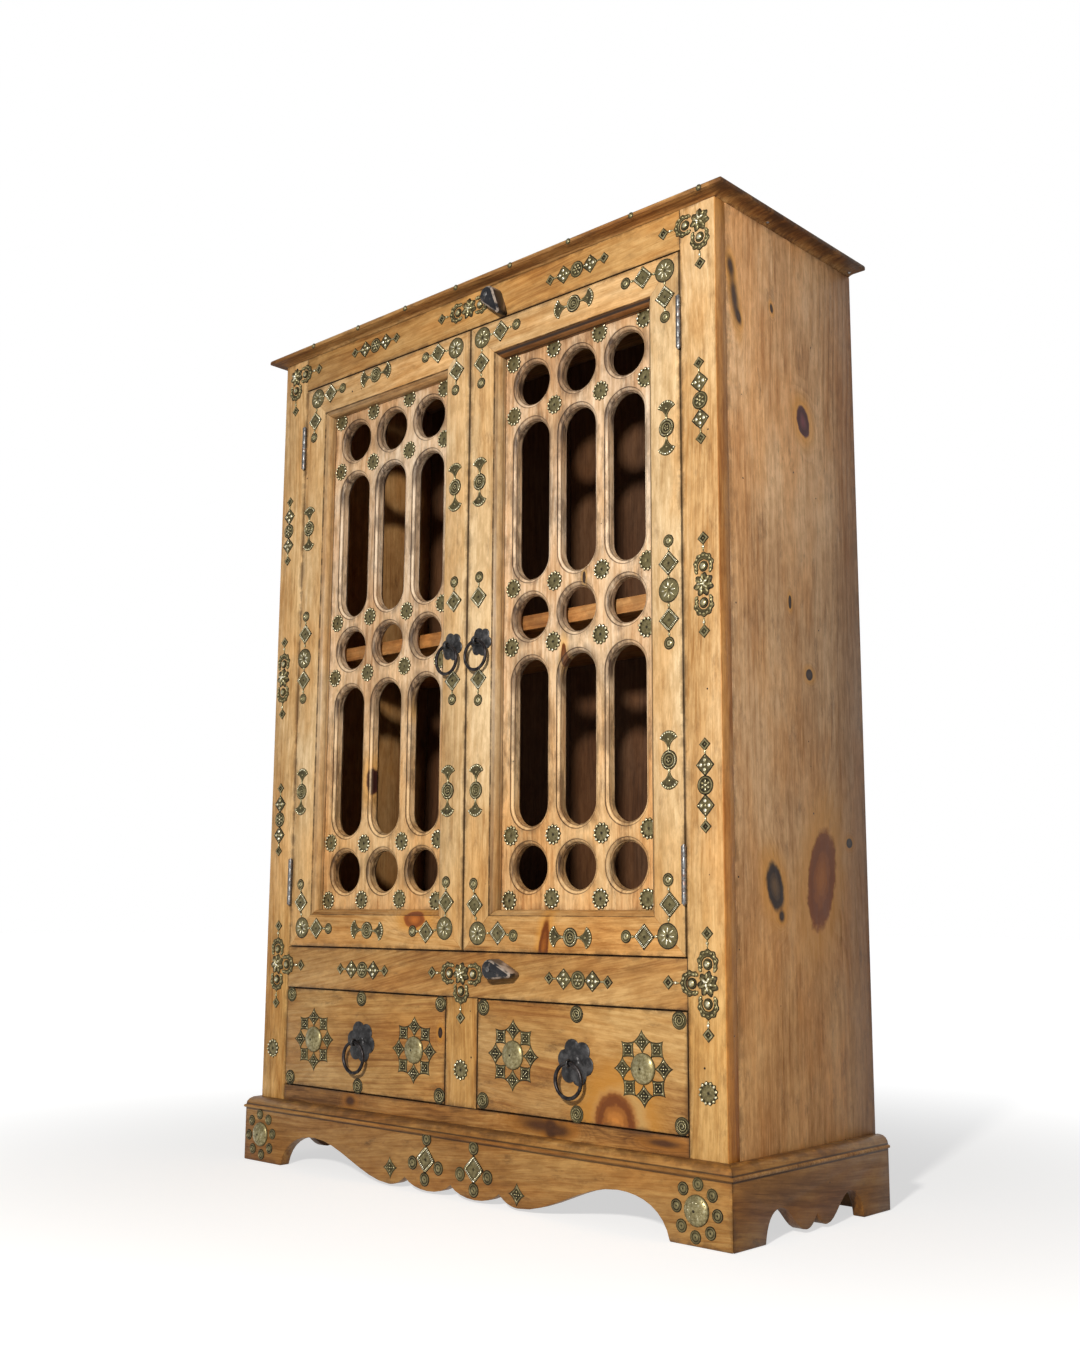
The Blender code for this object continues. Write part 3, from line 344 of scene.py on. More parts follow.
def pine(
    name, box, lie, through, seed, stops,
    ring_width=0.009, knots=(), grime=(0.008, 0.6), gloss=0.46, spots=0.45, joint=0.0, slant=0.0,
):
    """Waxed pine for a board: its box, how its grain lies, the axis through it, and its piece of trunk."""
    material, tree, place, shader = new_finish(name)
    low, high = Vector(box[0]), Vector(box[1])
    turn = (Matrix.Rotation(math.radians(slant), 3, "Y") @ Euler(LIES[lie]).to_matrix()).to_euler()
    shift = Vector(seed) - turn.to_matrix() @ ((low + high) / 2)
    trunk = add_node(tree, "Mapping", {"Vector": place, "Location": shift, "Rotation": turn}).outputs[0]
    axis = "xyz".index(through)
    inwards = Matrix.Identity(3)[axis]
    bulge = 0.0
    branches = []
    for centre, size, heart, rim, *manner in knots:
        lean, softness = manner or (0.0, CRISP)
        pivot = {"Vector": place, "Center": centre, "Axis": inwards, "Angle": math.radians(lean)}
        leaning = add_node(tree, "VectorRotate", pivot, rotation_type="AXIS_ANGLE").outputs[0]
        knot = {"Vector": leaning, "Centre": centre, "Size": size, "Softness": softness}
        branch = use_group(tree, "pine_knot", knot)
        bulge = maths(tree, "ADD", branch["Bulge"], bulge)
        branches.append((branch, heart, rim))
    grain = use_group(tree, "pine_grain", {"Vector": trunk, "Bulge": bulge, "Ring Width": ring_width})
    colour = colour_steps(tree, grain["Tone"], stops)
    colour = blend(tree, maths(tree, "MULTIPLY", grain["Warmth"], WARM_SHARE), colour, WAX_ORANGE, "MULTIPLY")
    marks = use_group(tree, "old_marks", {"Vector": trunk})
    colour = blend(tree, maths(tree, "MULTIPLY", marks["Spots"], spots), colour, stops[-1][1] + (1.0,))
    colour = blend(tree, 1.0, colour, blend(tree, marks["Mottle"], RUBBED_TINT, DULL_TINT), "MULTIPLY")
    halo = tuple(tone * tint for tone, tint in zip(stops[1][1], HALO_TINT)) + (1.0,)
    for branch, heart, rim in branches:
        colour = blend(tree, maths(tree, "MULTIPLY", branch["Halo"], HALO_SHARE), colour, halo)
    for branch, heart, rim in branches:
        between = tuple((a + b) / 2 for a, b in zip(heart, rim))
        steps = [(0.0, heart), (0.12, heart), (0.40, between), (0.66, rim), (0.82, rim), (1.0, between)]
        core = colour_steps(tree, branch["Inward"], steps)
        colour = blend(tree, branch["Core"], colour, core)
    reach = {"Vector": place, "Low": low - inwards, "High": high + inwards, "Width": grime[0]}
    dirt = use_group(tree, "edge_grime", reach)
    grimy = maths(tree, "MULTIPLY", dirt["Mask"], grime[1])
    if joint:
        depth = add_node(tree, "SeparateXYZ", {0: place}).outputs[axis]
        front = maths(tree, "SUBTRACT", depth, low[axis])
        back = maths(tree, "SUBTRACT", high[axis], depth)
        skin = spread(tree, maths(tree, "MINIMUM", front, back), *SKIN_DEPTH, 1.0, 0.2)
        grimy = maths(tree, "MULTIPLY", grimy, skin)
    colour = blend(tree, grimy, colour, GRIME_BROWN)
    if joint:
        black = maths(tree, "MULTIPLY", maths(tree, "MULTIPLY", dirt["Edge"], joint), skin)
        colour = blend(tree, black, colour, JOINT_BLACK)
    colour = blend(tree, marks["Holes"], colour, HOLE_BROWN)
    sheen = spread(tree, grain["Tone"], 0.1, 0.9, gloss - 0.07, gloss + 0.12)
    relief = maths(tree, "MULTIPLY_ADD", marks["Dents"], DENT_SHARE, grain["Height"])
    relief = maths(tree, "MULTIPLY_ADD", marks["Holes"], HOLE_SHARE, relief)
    surface(tree, shader, colour, sheen, relief, *PINE_RELIEF)
    shader.inputs["Specular IOR Level"].default_value = PINE_SHINE
    return material


def only_selected(piece):
    bpy.ops.object.select_all(action="DESELECT")
    bpy.context.view_layer.objects.active = piece
    piece.select_set(True)


def round_arrises(piece, width, segments=2):
    """Rounds over the sharp edges of the piece that is active."""
    bevel = piece.modifiers.new("arris", "BEVEL")
    bevel.width = width
    bevel.segments = segments
    bevel.limit_method = "ANGLE"
    bevel.angle_limit = ARRIS_ABOVE
    bpy.ops.object.modifier_apply(modifier="arris")


def eased(node, body, material, width=0.0012, segments=2):
    """A board copied from the frame, its triangles merged into whole faces and its arrises rounded over."""
    piece = bpy.data.objects.new(f"{node}_wood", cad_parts[node].data.copy())
    bpy.context.scene.collection.objects.link(piece)
    piece.data.materials.clear()
    piece.data.materials.append(material)
    only_selected(piece)
    bpy.ops.object.mode_set(mode="EDIT")
    bpy.ops.mesh.select_all(action="SELECT")
    bpy.ops.mesh.customdata_custom_splitnormals_clear()
    bpy.ops.mesh.remove_doubles(threshold=0.00002)
    bpy.ops.mesh.dissolve_limited(angle_limit=math.radians(1.0))
    bpy.ops.object.mode_set(mode="OBJECT")
    round_arrises(piece, width, segments)
    bpy.ops.object.shade_smooth_by_angle(angle=SMOOTH_BELOW)
    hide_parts(node)
    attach(piece, body)
    return piece


def painted(material):
    """A material's tree, its object coordinates, its colour so far, and the socket that takes the next."""
    tree = material.node_tree
    paint = tree.nodes["Principled BSDF"].inputs["Base Color"]
    return tree, add_node(tree, "TexCoord").outputs["Object"], paint.links[0].from_socket, paint


def shade_along(material, axis, start, end, tint):
    """Multiplies a material's colour by a tint that grows from one place on an axis to another."""
    tree, place, clean, paint = painted(material)
    parts = add_node(tree, "SeparateXYZ", {0: place}).outputs
    amount = spread(tree, parts["xyz".index(axis)], start, end)
    tree.links.new(blend(tree, amount, clean, (*tint, 1.0), "MULTIPLY"), paint)


# Painted shade for the sides' inner faces, deeper on the right side than the left, and painted light for
# their upper parts.
INNER_PAINTED_SHADES = {"right": (0.44, 0.350, 0.270), "left": (0.60, 0.530, 0.380)}
REAR_SHADE = (0.58, 0.500, 0.440)
FOOT_SHADE = (1.02, 0.880, 0.640)
CROWN_PAINTED_LIGHT = (1.36, 1.330, 1.280)
INNER_FROM = (0.5, 0.6)
REAR_REACH = 0.13
FOOT_REACH = (0.75, 0.15)
CROWN_LIGHT_REACH = (0.75, 0.30)
SIDE_TONES = [
    (0.10, (0.71, 0.462, 0.258)),
    (0.48, (0.56, 0.335, 0.172)),
    (0.76, (0.40, 0.212, 0.098)),
    (1.0, (0.12, 0.055, 0.023)),
]
side_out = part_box("side_panel_right")[1].x
RED_HEART = (0.33, 0.110, 0.018)
RED_RIM = (0.155, 0.040, 0.004)
GREY_HEART = (0.115, 0.070, 0.040)
PURPLE_HEART = (0.120, 0.036, 0.040)
PURPLE_RIM = (0.040, 0.012, 0.012)
BLACK_HEART = (0.045, 0.022, 0.012)
BLACK_RIM = (0.018, 0.009, 0.006)
right_knots = [
    ((side_out, face_y + 0.262, 1.386), (0.06, 0.020, 0.029), PURPLE_HEART, PURPLE_RIM, -16.0, CRISP),
    ((side_out, face_y + 0.206, 1.043), (0.03, 0.005, 0.012), BLACK_HEART, BLACK_RIM),
    ((side_out, face_y + 0.262, 0.921), (0.03, 0.011, 0.010), BLACK_HEART, BLACK_RIM),
    ((side_out, face_y + 0.286, 0.566), (0.06, 0.043, 0.088), RED_HEART, RED_RIM, 13.0, CRISP),
    ((side_out, face_y + 0.142, 0.550), (0.04, 0.024, 0.041), GREY_HEART, BLACK_RIM, -15.0, 0.16),
    ((side_out, face_y + 0.160, 0.502), (0.03, 0.008, 0.010), BLACK_HEART, BLACK_RIM, 0.0, 0.50),
    ((side_out, face_y + 0.380, 0.631), (0.03, 0.010, 0.009), BLACK_HEART, BLACK_RIM),
    ((side_out, face_y + 0.044, 1.610), (0.03, 0.010, 0.018), BLACK_HEART, BLACK_RIM, -10.0, 0.70),
    ((side_out, face_y + 0.054, 1.555), (0.03, 0.011, 0.045), BLACK_HEART, BLACK_RIM, -10.0, 0.80),
    ((side_out, face_y + 0.066, 1.524), (0.03, 0.007, 0.014), BLACK_HEART, BLACK_RIM, -20.0, 0.50),
    ((side_out, face_y + 0.168, 1.572), (0.03, 0.005, 0.009), BLACK_HEART, BLACK_RIM, -12.0, 0.30),
]
left_knots = [
    ((-side_out, face_y + 0.180, 1.290), (0.012, 0.026, 0.040), RED_HEART, RED_RIM),
    ((-side_out, face_y + 0.310, 0.830), (0.012, 0.013, 0.015), BLACK_HEART, BLACK_RIM),
    ((-side_out, face_y + 0.120, 0.480), (0.012, 0.034, 0.060), RED_HEART, RED_RIM),
]
side_boards = (("right", right_knots, (0.02, 0.09, 3.0)), ("left", left_knots, (-0.06, 0.07, 17.0)))
for word, knots, seed in side_boards:
    node = f"side_panel_{word}"
    low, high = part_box(node)
    wood = pine(
        f"waxed_side_{word}", (low, high), "upright_side", "x", seed, SIDE_TONES,
        ring_width=0.013, knots=knots, grime=(0.014, 0.55), gloss=0.52, spots=0.55,
    )
    inner, outer = (low.x, high.x) if word == "right" else (high.x, low.x)
    inside, within = (outer + share * (inner - outer) for share in INNER_FROM)
    # Painted shade on the inner face and painted light over the top; between, darker towards the back edge
    # and warmer towards the foot.
    shade_along(wood, "x", inside, within, INNER_PAINTED_SHADES[word])
    shade_along(wood, "y", high.y - REAR_REACH, high.y, REAR_SHADE)
    shade_along(wood, "z", low.z + FOOT_REACH[0], low.z + FOOT_REACH[1], FOOT_SHADE)
    shade_along(wood, "z", high.z - CROWN_LIGHT_REACH[0], high.z - CROWN_LIGHT_REACH[1], CROWN_PAINTED_LIGHT)
    eased(node, "carcase", wood)

INSIDE_TONES = [
    (0.10, (0.140, 0.068, 0.032)),
    (0.45, (0.100, 0.046, 0.021)),
    (0.75, (0.064, 0.028, 0.012)),
    (1.0, (0.034, 0.015, 0.006)),
]
for number, (node, lie, through) in enumerate((
    ("bottom_board", "level_flat", "z"),
    ("cabinet_floor", "level_flat", "z"),
    ("drawer_divider", "deep_flat", "x"),
    ("drawer_guide_left", "deep_flat", "x"),
    ("drawer_guide_right", "deep_flat", "x"),
)):
    wood = pine(
        f"dull_{node}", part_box(node), lie, through, (0.03, 0.06, 2.3 * number), INSIDE_TONES,
        ring_width=0.011, grime=(0.03, 0.5), gloss=0.62,
    )
    eased(node, "carcase", wood)


# The back is five raw planks side by side, nailed at top, bottom and middle.
# They were never waxed on the outside, and the nails' heads have rusted a little.
def joined(name, pieces):
    bpy.ops.object.select_all(action="DESELECT")
    for piece in pieces:
        piece.select_set(True)
    bpy.context.view_layer.objects.active = pieces[0]
    if len(pieces) > 1:
        bpy.ops.object.join()
    pieces[0].name = name
    return pieces[0]


def copy_at(piece, matrix):
    made = bpy.data.objects.new(piece.name, piece.data.copy())
    made.data.transform(matrix)
    bpy.context.scene.collection.objects.link(made)
    return made


def pick_points(piece, test):
    """Selects, in edit mode, only the points whose place passes the test."""
    bpy.ops.mesh.select_mode(type="VERT")
    bpy.ops.mesh.select_all(action="DESELECT")
    shape = bmesh.from_edit_mesh(piece.data)
    for point in shape.verts:
        point.select = test(point.co)
    shape.select_flush_mode()
    bmesh.update_edit_mesh(piece.data)


RUST = (0.16, 0.060, 0.022, 1.0)
HAMMER_MARKS = 150.0
HAMMER_DEPTH = 0.0012


def metal(name, colour, worn, roughness, metallic, scale, hammered=0.0, rust=0.0):
    """Bare or blackened metal with scuffs of another colour, and hammer marks or rust where asked for."""
    material, tree, place, shader = new_finish(name)
    scuff = noise(tree, place, (scale, scale, scale), 4.0, 0.65)
    shade = blend(tree, spread(tree, scuff, 0.42, 0.72), (*colour, 1.0), (*worn, 1.0))
    if rust:
        spots = noise(tree, place, (210.0, 210.0, 140.0), 4.0, 0.7)
        shade = blend(tree, spread(tree, spots, 0.52, 0.66, 0.0, rust), shade, RUST)
    dents = 0.0
    if hammered:
        cells = {"Vector": place, "Scale": HAMMER_MARKS, "Smoothness": 0.7}
        blows = add_node(tree, "TexVoronoi", cells, feature="SMOOTH_F1").outputs["Distance"]
        dents = maths(tree, "MULTIPLY_ADD", scuff, 0.5, blows)
    sheen = spread(tree, scuff, 0.3, 0.75, roughness - 0.10, roughness + 0.14)
    surface(tree, shader, shade, sheen, dents, hammered, HAMMER_DEPTH)
    shader.inputs["Metallic"].default_value = metallic
    return material


def sawn_block(name, low, high):
    """A plain block with square edges, which the next steps ease or cut."""
    bpy.ops.object.select_all(action="DESELECT")
    bpy.ops.mesh.primitive_cube_add(size=1.0, location=(low + high) / 2, scale=high - low)
    return settled(name)


BACK_PLANKS = 5
PLANK_EASE = 0.0018
RAW_BACK = (2.6, 2.500, 2.350)
RAW_DEPTH = (0.004, 0.002)
NAIL_RADIUS = 0.0032
NAIL_DEPTH = 0.0016
NAIL_TAPER = 0.62
NAIL_SHARES = (0.22, 0.78)
NAIL_ENDS = (0.035, 0.025)
NAIL_PROUD = 0.0003
CORNICE_NAILS = [(side * 0.606, face_y + y, 1.7226) for side in (1, -1) for y in (0.144, 0.421)]
back_low, back_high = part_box("back_panel")
plank_width = (back_high.x - back_low.x) / BACK_PLANKS
for number in range(BACK_PLANKS):
    plank_low = Vector((back_low.x + plank_width * number, back_low.y, back_low.z))
    plank_high = Vector((plank_low.x + plank_width, back_high.y, back_high.z))
    plank = sawn_block(f"back_plank_{number + 1}", plank_low, plank_high)
    round_arrises(plank, PLANK_EASE)
    bpy.ops.object.shade_smooth_by_angle(angle=SMOOTH_BELOW)
    wood = pine(
        f"dull_back_{number + 1}", (plank_low, plank_high), "upright", "y", (0.03, 0.05, 7.0 * number),
        INSIDE_TONES, ring_width=0.011, grime=(0.008, 0.6), gloss=0.62, joint=0.5,
    )
    shade_along(wood, "y", back_high.y - RAW_DEPTH[0], back_high.y - RAW_DEPTH[1], RAW_BACK)
    plank.data.materials.append(wood)
    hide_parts("back_panel")
    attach(plank, "carcase")

bpy.ops.object.select_all(action="DESELECT")
bpy.ops.mesh.primitive_cylinder_add(vertices=14, radius=NAIL_RADIUS, depth=NAIL_DEPTH)
nail_head = bpy.context.active_object
bpy.ops.object.mode_set(mode="EDIT")
pick_points(nail_head, lambda place: place.z > 0.0)
bpy.ops.transform.resize(value=(NAIL_TAPER, NAIL_TAPER, 1.0), center_override=(0.0, 0.0, 0.0))
bpy.ops.object.mode_set(mode="OBJECT")
bpy.ops.object.shade_smooth_by_angle(angle=math.radians(50.0))
nail_iron = metal("nail_iron", (0.10, 0.095, 0.09), (0.34, 0.33, 0.32), 0.40, 0.85, 300.0, rust=0.5)
nail_head.data.materials.append(nail_iron)
outwards = Matrix.Rotation(math.radians(-90.0), 4, "X")
downwards = Matrix.Rotation(math.radians(180.0), 4, "X")
nails = []
nail_rows = (back_low.z + NAIL_ENDS[0], (back_low.z + back_high.z) / 2, back_high.z - NAIL_ENDS[1])
for number in range(BACK_PLANKS):
    for share in NAIL_SHARES:
        x = back_low.x + plank_width * (number + share)
        for z in nail_rows:
            nails.append(copy_at(nail_head, Matrix.Translation((x, back_high.y + NAIL_PROUD, z)) @ outwards))
for spot in CORNICE_NAILS:
    nails.append(copy_at(nail_head, Matrix.Translation(spot) @ downwards))
bpy.data.objects.remove(nail_head)
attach(joined("nail_heads", nails), "carcase")


# The shelf is one board of redder pine housed in the sides, and its front edge shows through the openings.
# Two plugs sawn from the same board stop the ends of its housings at the back.
SHELF_TONES = [
    (0.10, (0.62, 0.320, 0.115)),
    (0.45, (0.47, 0.205, 0.062)),
    (0.75, (0.29, 0.112, 0.032)),
    (1.0, (0.13, 0.048, 0.015)),
]
PLUG_EASE = 0.0006
shelf_low, shelf_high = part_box("middle_shelf")
shelf_wood = pine(
    "orange_shelf", (shelf_low, shelf_high), "level_flat", "z", (0.01, 0.05, 9.0), SHELF_TONES,
    grime=(0.02, 0.4),
)
eased("middle_shelf", "carcase", shelf_wood)
for word, left, right in (("left", shelf_low.x, back_low.x), ("right", back_high.x, shelf_high.x)):
    plug_low = Vector((left, back_low.y, shelf_low.z))
    plug_high = Vector((right, back_high.y, shelf_high.z))
    plug = sawn_block(f"shelf_plug_{word}", plug_low, plug_high)
    round_arrises(plug, PLUG_EASE)
    plug.data.materials.append(shelf_wood)
    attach(plug, "carcase")


# The face frame is planed pine boards, butted and pegged: two stiles, three rails and a short drawer mullion.
# It has been waxed honey-brown, and dirt has settled along the joints.
FRAME_TONES = [
    (0.08, (0.78, 0.540, 0.290)),
    (0.46, (0.60, 0.370, 0.162)),
    (0.74, (0.42, 0.215, 0.070)),
    (1.0, (0.15, 0.064, 0.020)),
]
RAIL_TONES = [
    (0.08, (0.61, 0.375, 0.150)),
    (0.46, (0.46, 0.247, 0.080)),
    (0.72, (0.30, 0.140, 0.040)),
    (1.0, (0.08, 0.033, 0.010)),
]
BASE_TONES = [
    (0.08, (0.50, 0.285, 0.095)),
    (0.42, (0.32, 0.150, 0.040)),
    (0.68, (0.14, 0.058, 0.015)),
    (1.0, (0.04, 0.017, 0.006)),
]
BROWN_HEART = (0.072, 0.025, 0.006)
BROWN_RIM = (0.048, 0.016, 0.004)
base_knots = [
    ((0.200, face_y, 0.144), (0.050, 0.03, 0.010), BROWN_HEART, BROWN_RIM, 0.0, 0.85),
    ((0.223, face_y, 0.140), (0.013, 0.03, 0.017), BROWN_HEART, BROWN_RIM, 0.0, 0.55),
    ((0.240, face_y, 0.138), (0.026, 0.03, 0.009), BROWN_HEART, BROWN_RIM, 0.0, 0.80),
    ((0.468, face_y, 0.142), (0.034, 0.03, 0.006), BROWN_HEART, BROWN_RIM, 0.0, 0.80),
    ((-0.310, face_y, 0.140), (0.014, 0.03, 0.009), BROWN_HEART, BROWN_RIM, 0.0, 0.60),
]
# Painted light for the whole left stile, and painted shade for both stiles' outer arrises, where the front
# turns to the side.
STILE_FOOT = (0.92, 0.830, 0.600)
LEFT_STILE_PAINTED_LIGHT = (1.13, 1.180, 1.240)
STILE_EDGE_SHADE = (0.90, 0.660, 0.400)
STILE_EDGE_SHADE_REACH = (0.0025, 0.0003)
STILE_FOOT_REACH = (0.75, 0.30)
LEFT_STILE_LIGHT_FROM = (0.0, 0.1)
UNSEEN_EDGE = 0.1
frame_boards = (
    ("face_stile_left", "upright", (0.03, 0.06, 4.0), FRAME_TONES, 1.0),
    ("face_stile_right", "upright", (-0.04, 0.05, 11.0), FRAME_TONES, -1.0),
    ("face_rail_top", "level", (0.02, 0.07, 21.0), RAIL_TONES, 3.0),
    ("face_rail_middle", "level", (-0.03, 0.05, 33.0), RAIL_TONES, 11.0),
    ("face_rail_bottom", "level", (0.05, 0.06, 45.0), BASE_TONES, 2.0),
    ("drawer_mullion", "upright", (0.01, 0.05, 51.0), FRAME_TONES, 0.0),
)
for node, lie, seed, tones, slant in frame_boards:
    low, high = (Vector(place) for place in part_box(node))
    left_edge, right_edge = low.x, high.x
    if node == "face_stile_left":
        low.x -= UNSEEN_EDGE
    if node == "face_stile_right":
        high.x += UNSEEN_EDGE
    wood = pine(
        f"waxed_{node}", (low, high), lie, "y", seed, tones, knots=base_knots if tones == BASE_TONES else (),
        grime=(0.007, 0.7), joint=0.0 if "stile" in node else 0.85, slant=slant,
    )
    if lie == "upright":
        shade_along(wood, "z", *STILE_FOOT_REACH, STILE_FOOT)
    # Painted light over the left stile, and painted shade along the outer arris of each stile.
    if node == "face_stile_left":
        shade_along(wood, "z", *LEFT_STILE_LIGHT_FROM, LEFT_STILE_PAINTED_LIGHT)
        shade_along(wood, "x", left_edge + STILE_EDGE_SHADE_REACH[0], left_edge + STILE_EDGE_SHADE_REACH[1], STILE_EDGE_SHADE)
    if node == "face_stile_right":
        shade_along(wood, "x", right_edge - STILE_EDGE_SHADE_REACH[0], right_edge - STILE_EDGE_SHADE_REACH[1], STILE_EDGE_SHADE)
    eased(node, "carcase", wood)


# The cornice is one board with its under edge worked to a cove, nailed down over the carcase.
# Its thin nosing is dark along the edge where hands and dust have been.
CORNICE_TONES = [
    (0.08, (0.56, 0.330, 0.125)),
    (0.40, (0.39, 0.200, 0.064)),
    (0.66, (0.20, 0.088, 0.026)),
    (1.0, (0.04, 0.017, 0.006)),
]
CORNICE_END = (0.66, 0.600, 0.560)
NOSING = 0.012
low, high = (Vector(place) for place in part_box("top_board"))
low.y -= UNSEEN_EDGE
cornice_wood = pine(
    "waxed_cornice", (low, high), "level_flat", "z", (0.10, 0.05, 60.0), CORNICE_TONES,
    grime=(0.030, 0.95), gloss=0.60, spots=0.8,
)
shade_along(cornice_wood, "x", side_out, high.x - NOSING, CORNICE_END)
shade_along(cornice_wood, "x", -side_out, low.x + NOSING, CORNICE_END)
eased("top_board", "carcase", cornice_wood, width=0.0015)


# The plinth is scalloped boards, sawn to shape, mitred round the front corners and rounded over on top.
# Feet and lobes are dark with floor wax and kicks.
PLINTH_TONES = [
    (0.10, (0.46, 0.255, 0.080)),
    (0.45, (0.32, 0.150, 0.037)),
    (0.75, (0.18, 0.075, 0.017)),
    (1.0, (0.06, 0.024, 0.007)),
]
BEAD_HEIGHT = 0.1065
BEAD_RADIUS = 0.0030
# Painted shade: dark lines on the plinth boards just above and just below the bead.
BEAD_SHADE_LINES = (0.1112, 0.1018)
LINE_CORE = 0.0006
LINE_HALF = 0.0022
SHADE_LINE_STRENGTH = 0.8
PLINTH_END = (0.70, 0.630, 0.480)
PLINTH_END_REACH = (0.16, 0.02)
for node, lie, through, seed in (
    ("plinth_front", "level", "y", (0.02, 0.06, 70.0)),
    ("plinth_left", "level_side", "x", (0.01, 0.05, 77.0)),
    ("plinth_right", "level_side", "x", (-0.02, 0.06, 82.0)),
    ("plinth_back", "level", "y", (0.04, 0.05, 90.0)),
):
    wood = pine(
        f"waxed_{node}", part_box(node), lie, through, seed, PLINTH_TONES,
        grime=(0.012, 0.75), spots=0.6, slant=5.0,
    )
    tree, place, clean, paint = painted(wood)
    up = add_node(tree, "SeparateXYZ", {0: place}).outputs[2]
    lines = 0.0
    # Painted shade lines along the plinth just above and below the bead.
    for height in BEAD_SHADE_LINES:
        off = maths(tree, "ABSOLUTE", maths(tree, "SUBTRACT", up, height))
        lines = maths(tree, "MAXIMUM", spread(tree, off, LINE_CORE, LINE_HALF, SHADE_LINE_STRENGTH, 0.0), lines)
    tree.links.new(blend(tree, lines, clean, JOINT_BLACK), paint)
    # The side boards darken towards the floor.
    if lie == "level_side":
        shade_along(wood, "z", *PLINTH_END_REACH, PLINTH_END)
    eased(node, "carcase", wood, width=0.0016)


# A thin half-round bead is nailed round the plinth under its rounded top edge, mitred at the front corners.
# It is three straight runs of the same pine, rounded over and laid flat side in.
BEAD_SPARE = 0.02
BEAD_BED = 0.0005


def bead_run(middle, length, turn, cuts):
    bpy.ops.object.select_all(action="DESELECT")
    bpy.ops.mesh.primitive_cylinder_add(
        vertices=20, radius=BEAD_RADIUS, depth=length, location=middle, rotation=turn,
    )
    run = settled("plinth_bead_run")
    bpy.ops.object.mode_set(mode="EDIT")
    for place, away in cuts:
        bpy.ops.mesh.select_all(action="SELECT")
        bpy.ops.mesh.bisect(plane_co=place, plane_no=away, use_fill=True, clear_outer=True)
    bpy.ops.object.mode_set(mode="OBJECT")
    bpy.ops.object.shade_smooth_by_angle(angle=math.radians(40.0))
    return run


front_low, front_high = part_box("plinth_front")
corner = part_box("plinth_right")[1].x
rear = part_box("plinth_right")[1].y
front = front_low.y
mitres = [((side * corner, front, 0.0), (side, 1.0, 0.0)) for side in (1, -1)]
runs = [bead_run(
    (0.0, front, BEAD_HEIGHT), 2 * corner + BEAD_SPARE, (0.0, math.pi / 2, 0.0),
    [*mitres, ((0.0, front + BEAD_BED, 0.0), (0.0, 1.0, 0.0))],
)]
for side in (1, -1):
    runs.append(bead_run(
        (side * corner, (front + rear) / 2, BEAD_HEIGHT), rear - front + BEAD_SPARE, (math.pi / 2, 0.0, 0.0),
        [
            ((side * corner, front, 0.0), (-side, -1.0, 0.0)),
            ((0.0, rear, 0.0), (0.0, 1.0, 0.0)),
            ((side * (corner - BEAD_BED), 0.0, 0.0), (-side, 0.0, 0.0)),
        ],
    ))
plinth_bead = joined("plinth_bead", runs)
bead_wood = pine(
    "waxed_plinth_bead", (front_low, front_high), "level", "y", (0.03, 0.05, 95.0), PLINTH_TONES,
    grime=(0.004, 0.0),
)
plinth_bead.data.materials.append(bead_wood)
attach(plinth_bead, "carcase")


# Each door is four mitred members moulded along their inner edge, round a thick pierced panel.
# The members are the palest wood on the front, with dirt in the quirk of the moulding.
# Painted shade darkens the moulding itself and draws dark lines in its grooves.
DOOR_TONES = [
    (0.08, (0.81, 0.600, 0.350)),
    (0.46, (0.65, 0.440, 0.222)),
    (0.76, (0.46, 0.268, 0.110)),
    (1.0, (0.19, 0.090, 0.033)),
]
TAWNY_HEART = (0.50, 0.170, 0.040)
TAWNY_RIM = (0.26, 0.080, 0.022)
rail_knots = {
    "door_right_bottom_rail": [
        ((0.203, face_y, 0.440), (0.0120, 0.03, 0.058), RED_HEART, RED_RIM, -10.0, 0.20),
    ],
    "door_left_bottom_rail": [((-0.134, face_y, 0.492), (0.030, 0.03, 0.016), TAWNY_HEART, TAWNY_RIM)],
}
MOULDING_WIDTH = 0.011
MOULDING_GROOVES = (0.0045, 0.0165)
# How much painted shade each door member's moulding takes.
MOULDING_SHADE_SHARES = {
    "left": {"hinge_stile": 0.26, "meeting_stile": 0.35, "top_rail": 0.36, "bottom_rail": 0.20},
    "right": {"hinge_stile": 0.35, "meeting_stile": 0.36, "top_rail": 0.95, "bottom_rail": 0.14},
}
MOULDING_PAINTED_SHADE = (0.33, 0.215, 0.130, 1.0)
DOOR_FOOT = (0.95, 0.860, 0.690)
DOOR_FOOT_REACH = (0.85, 0.45)


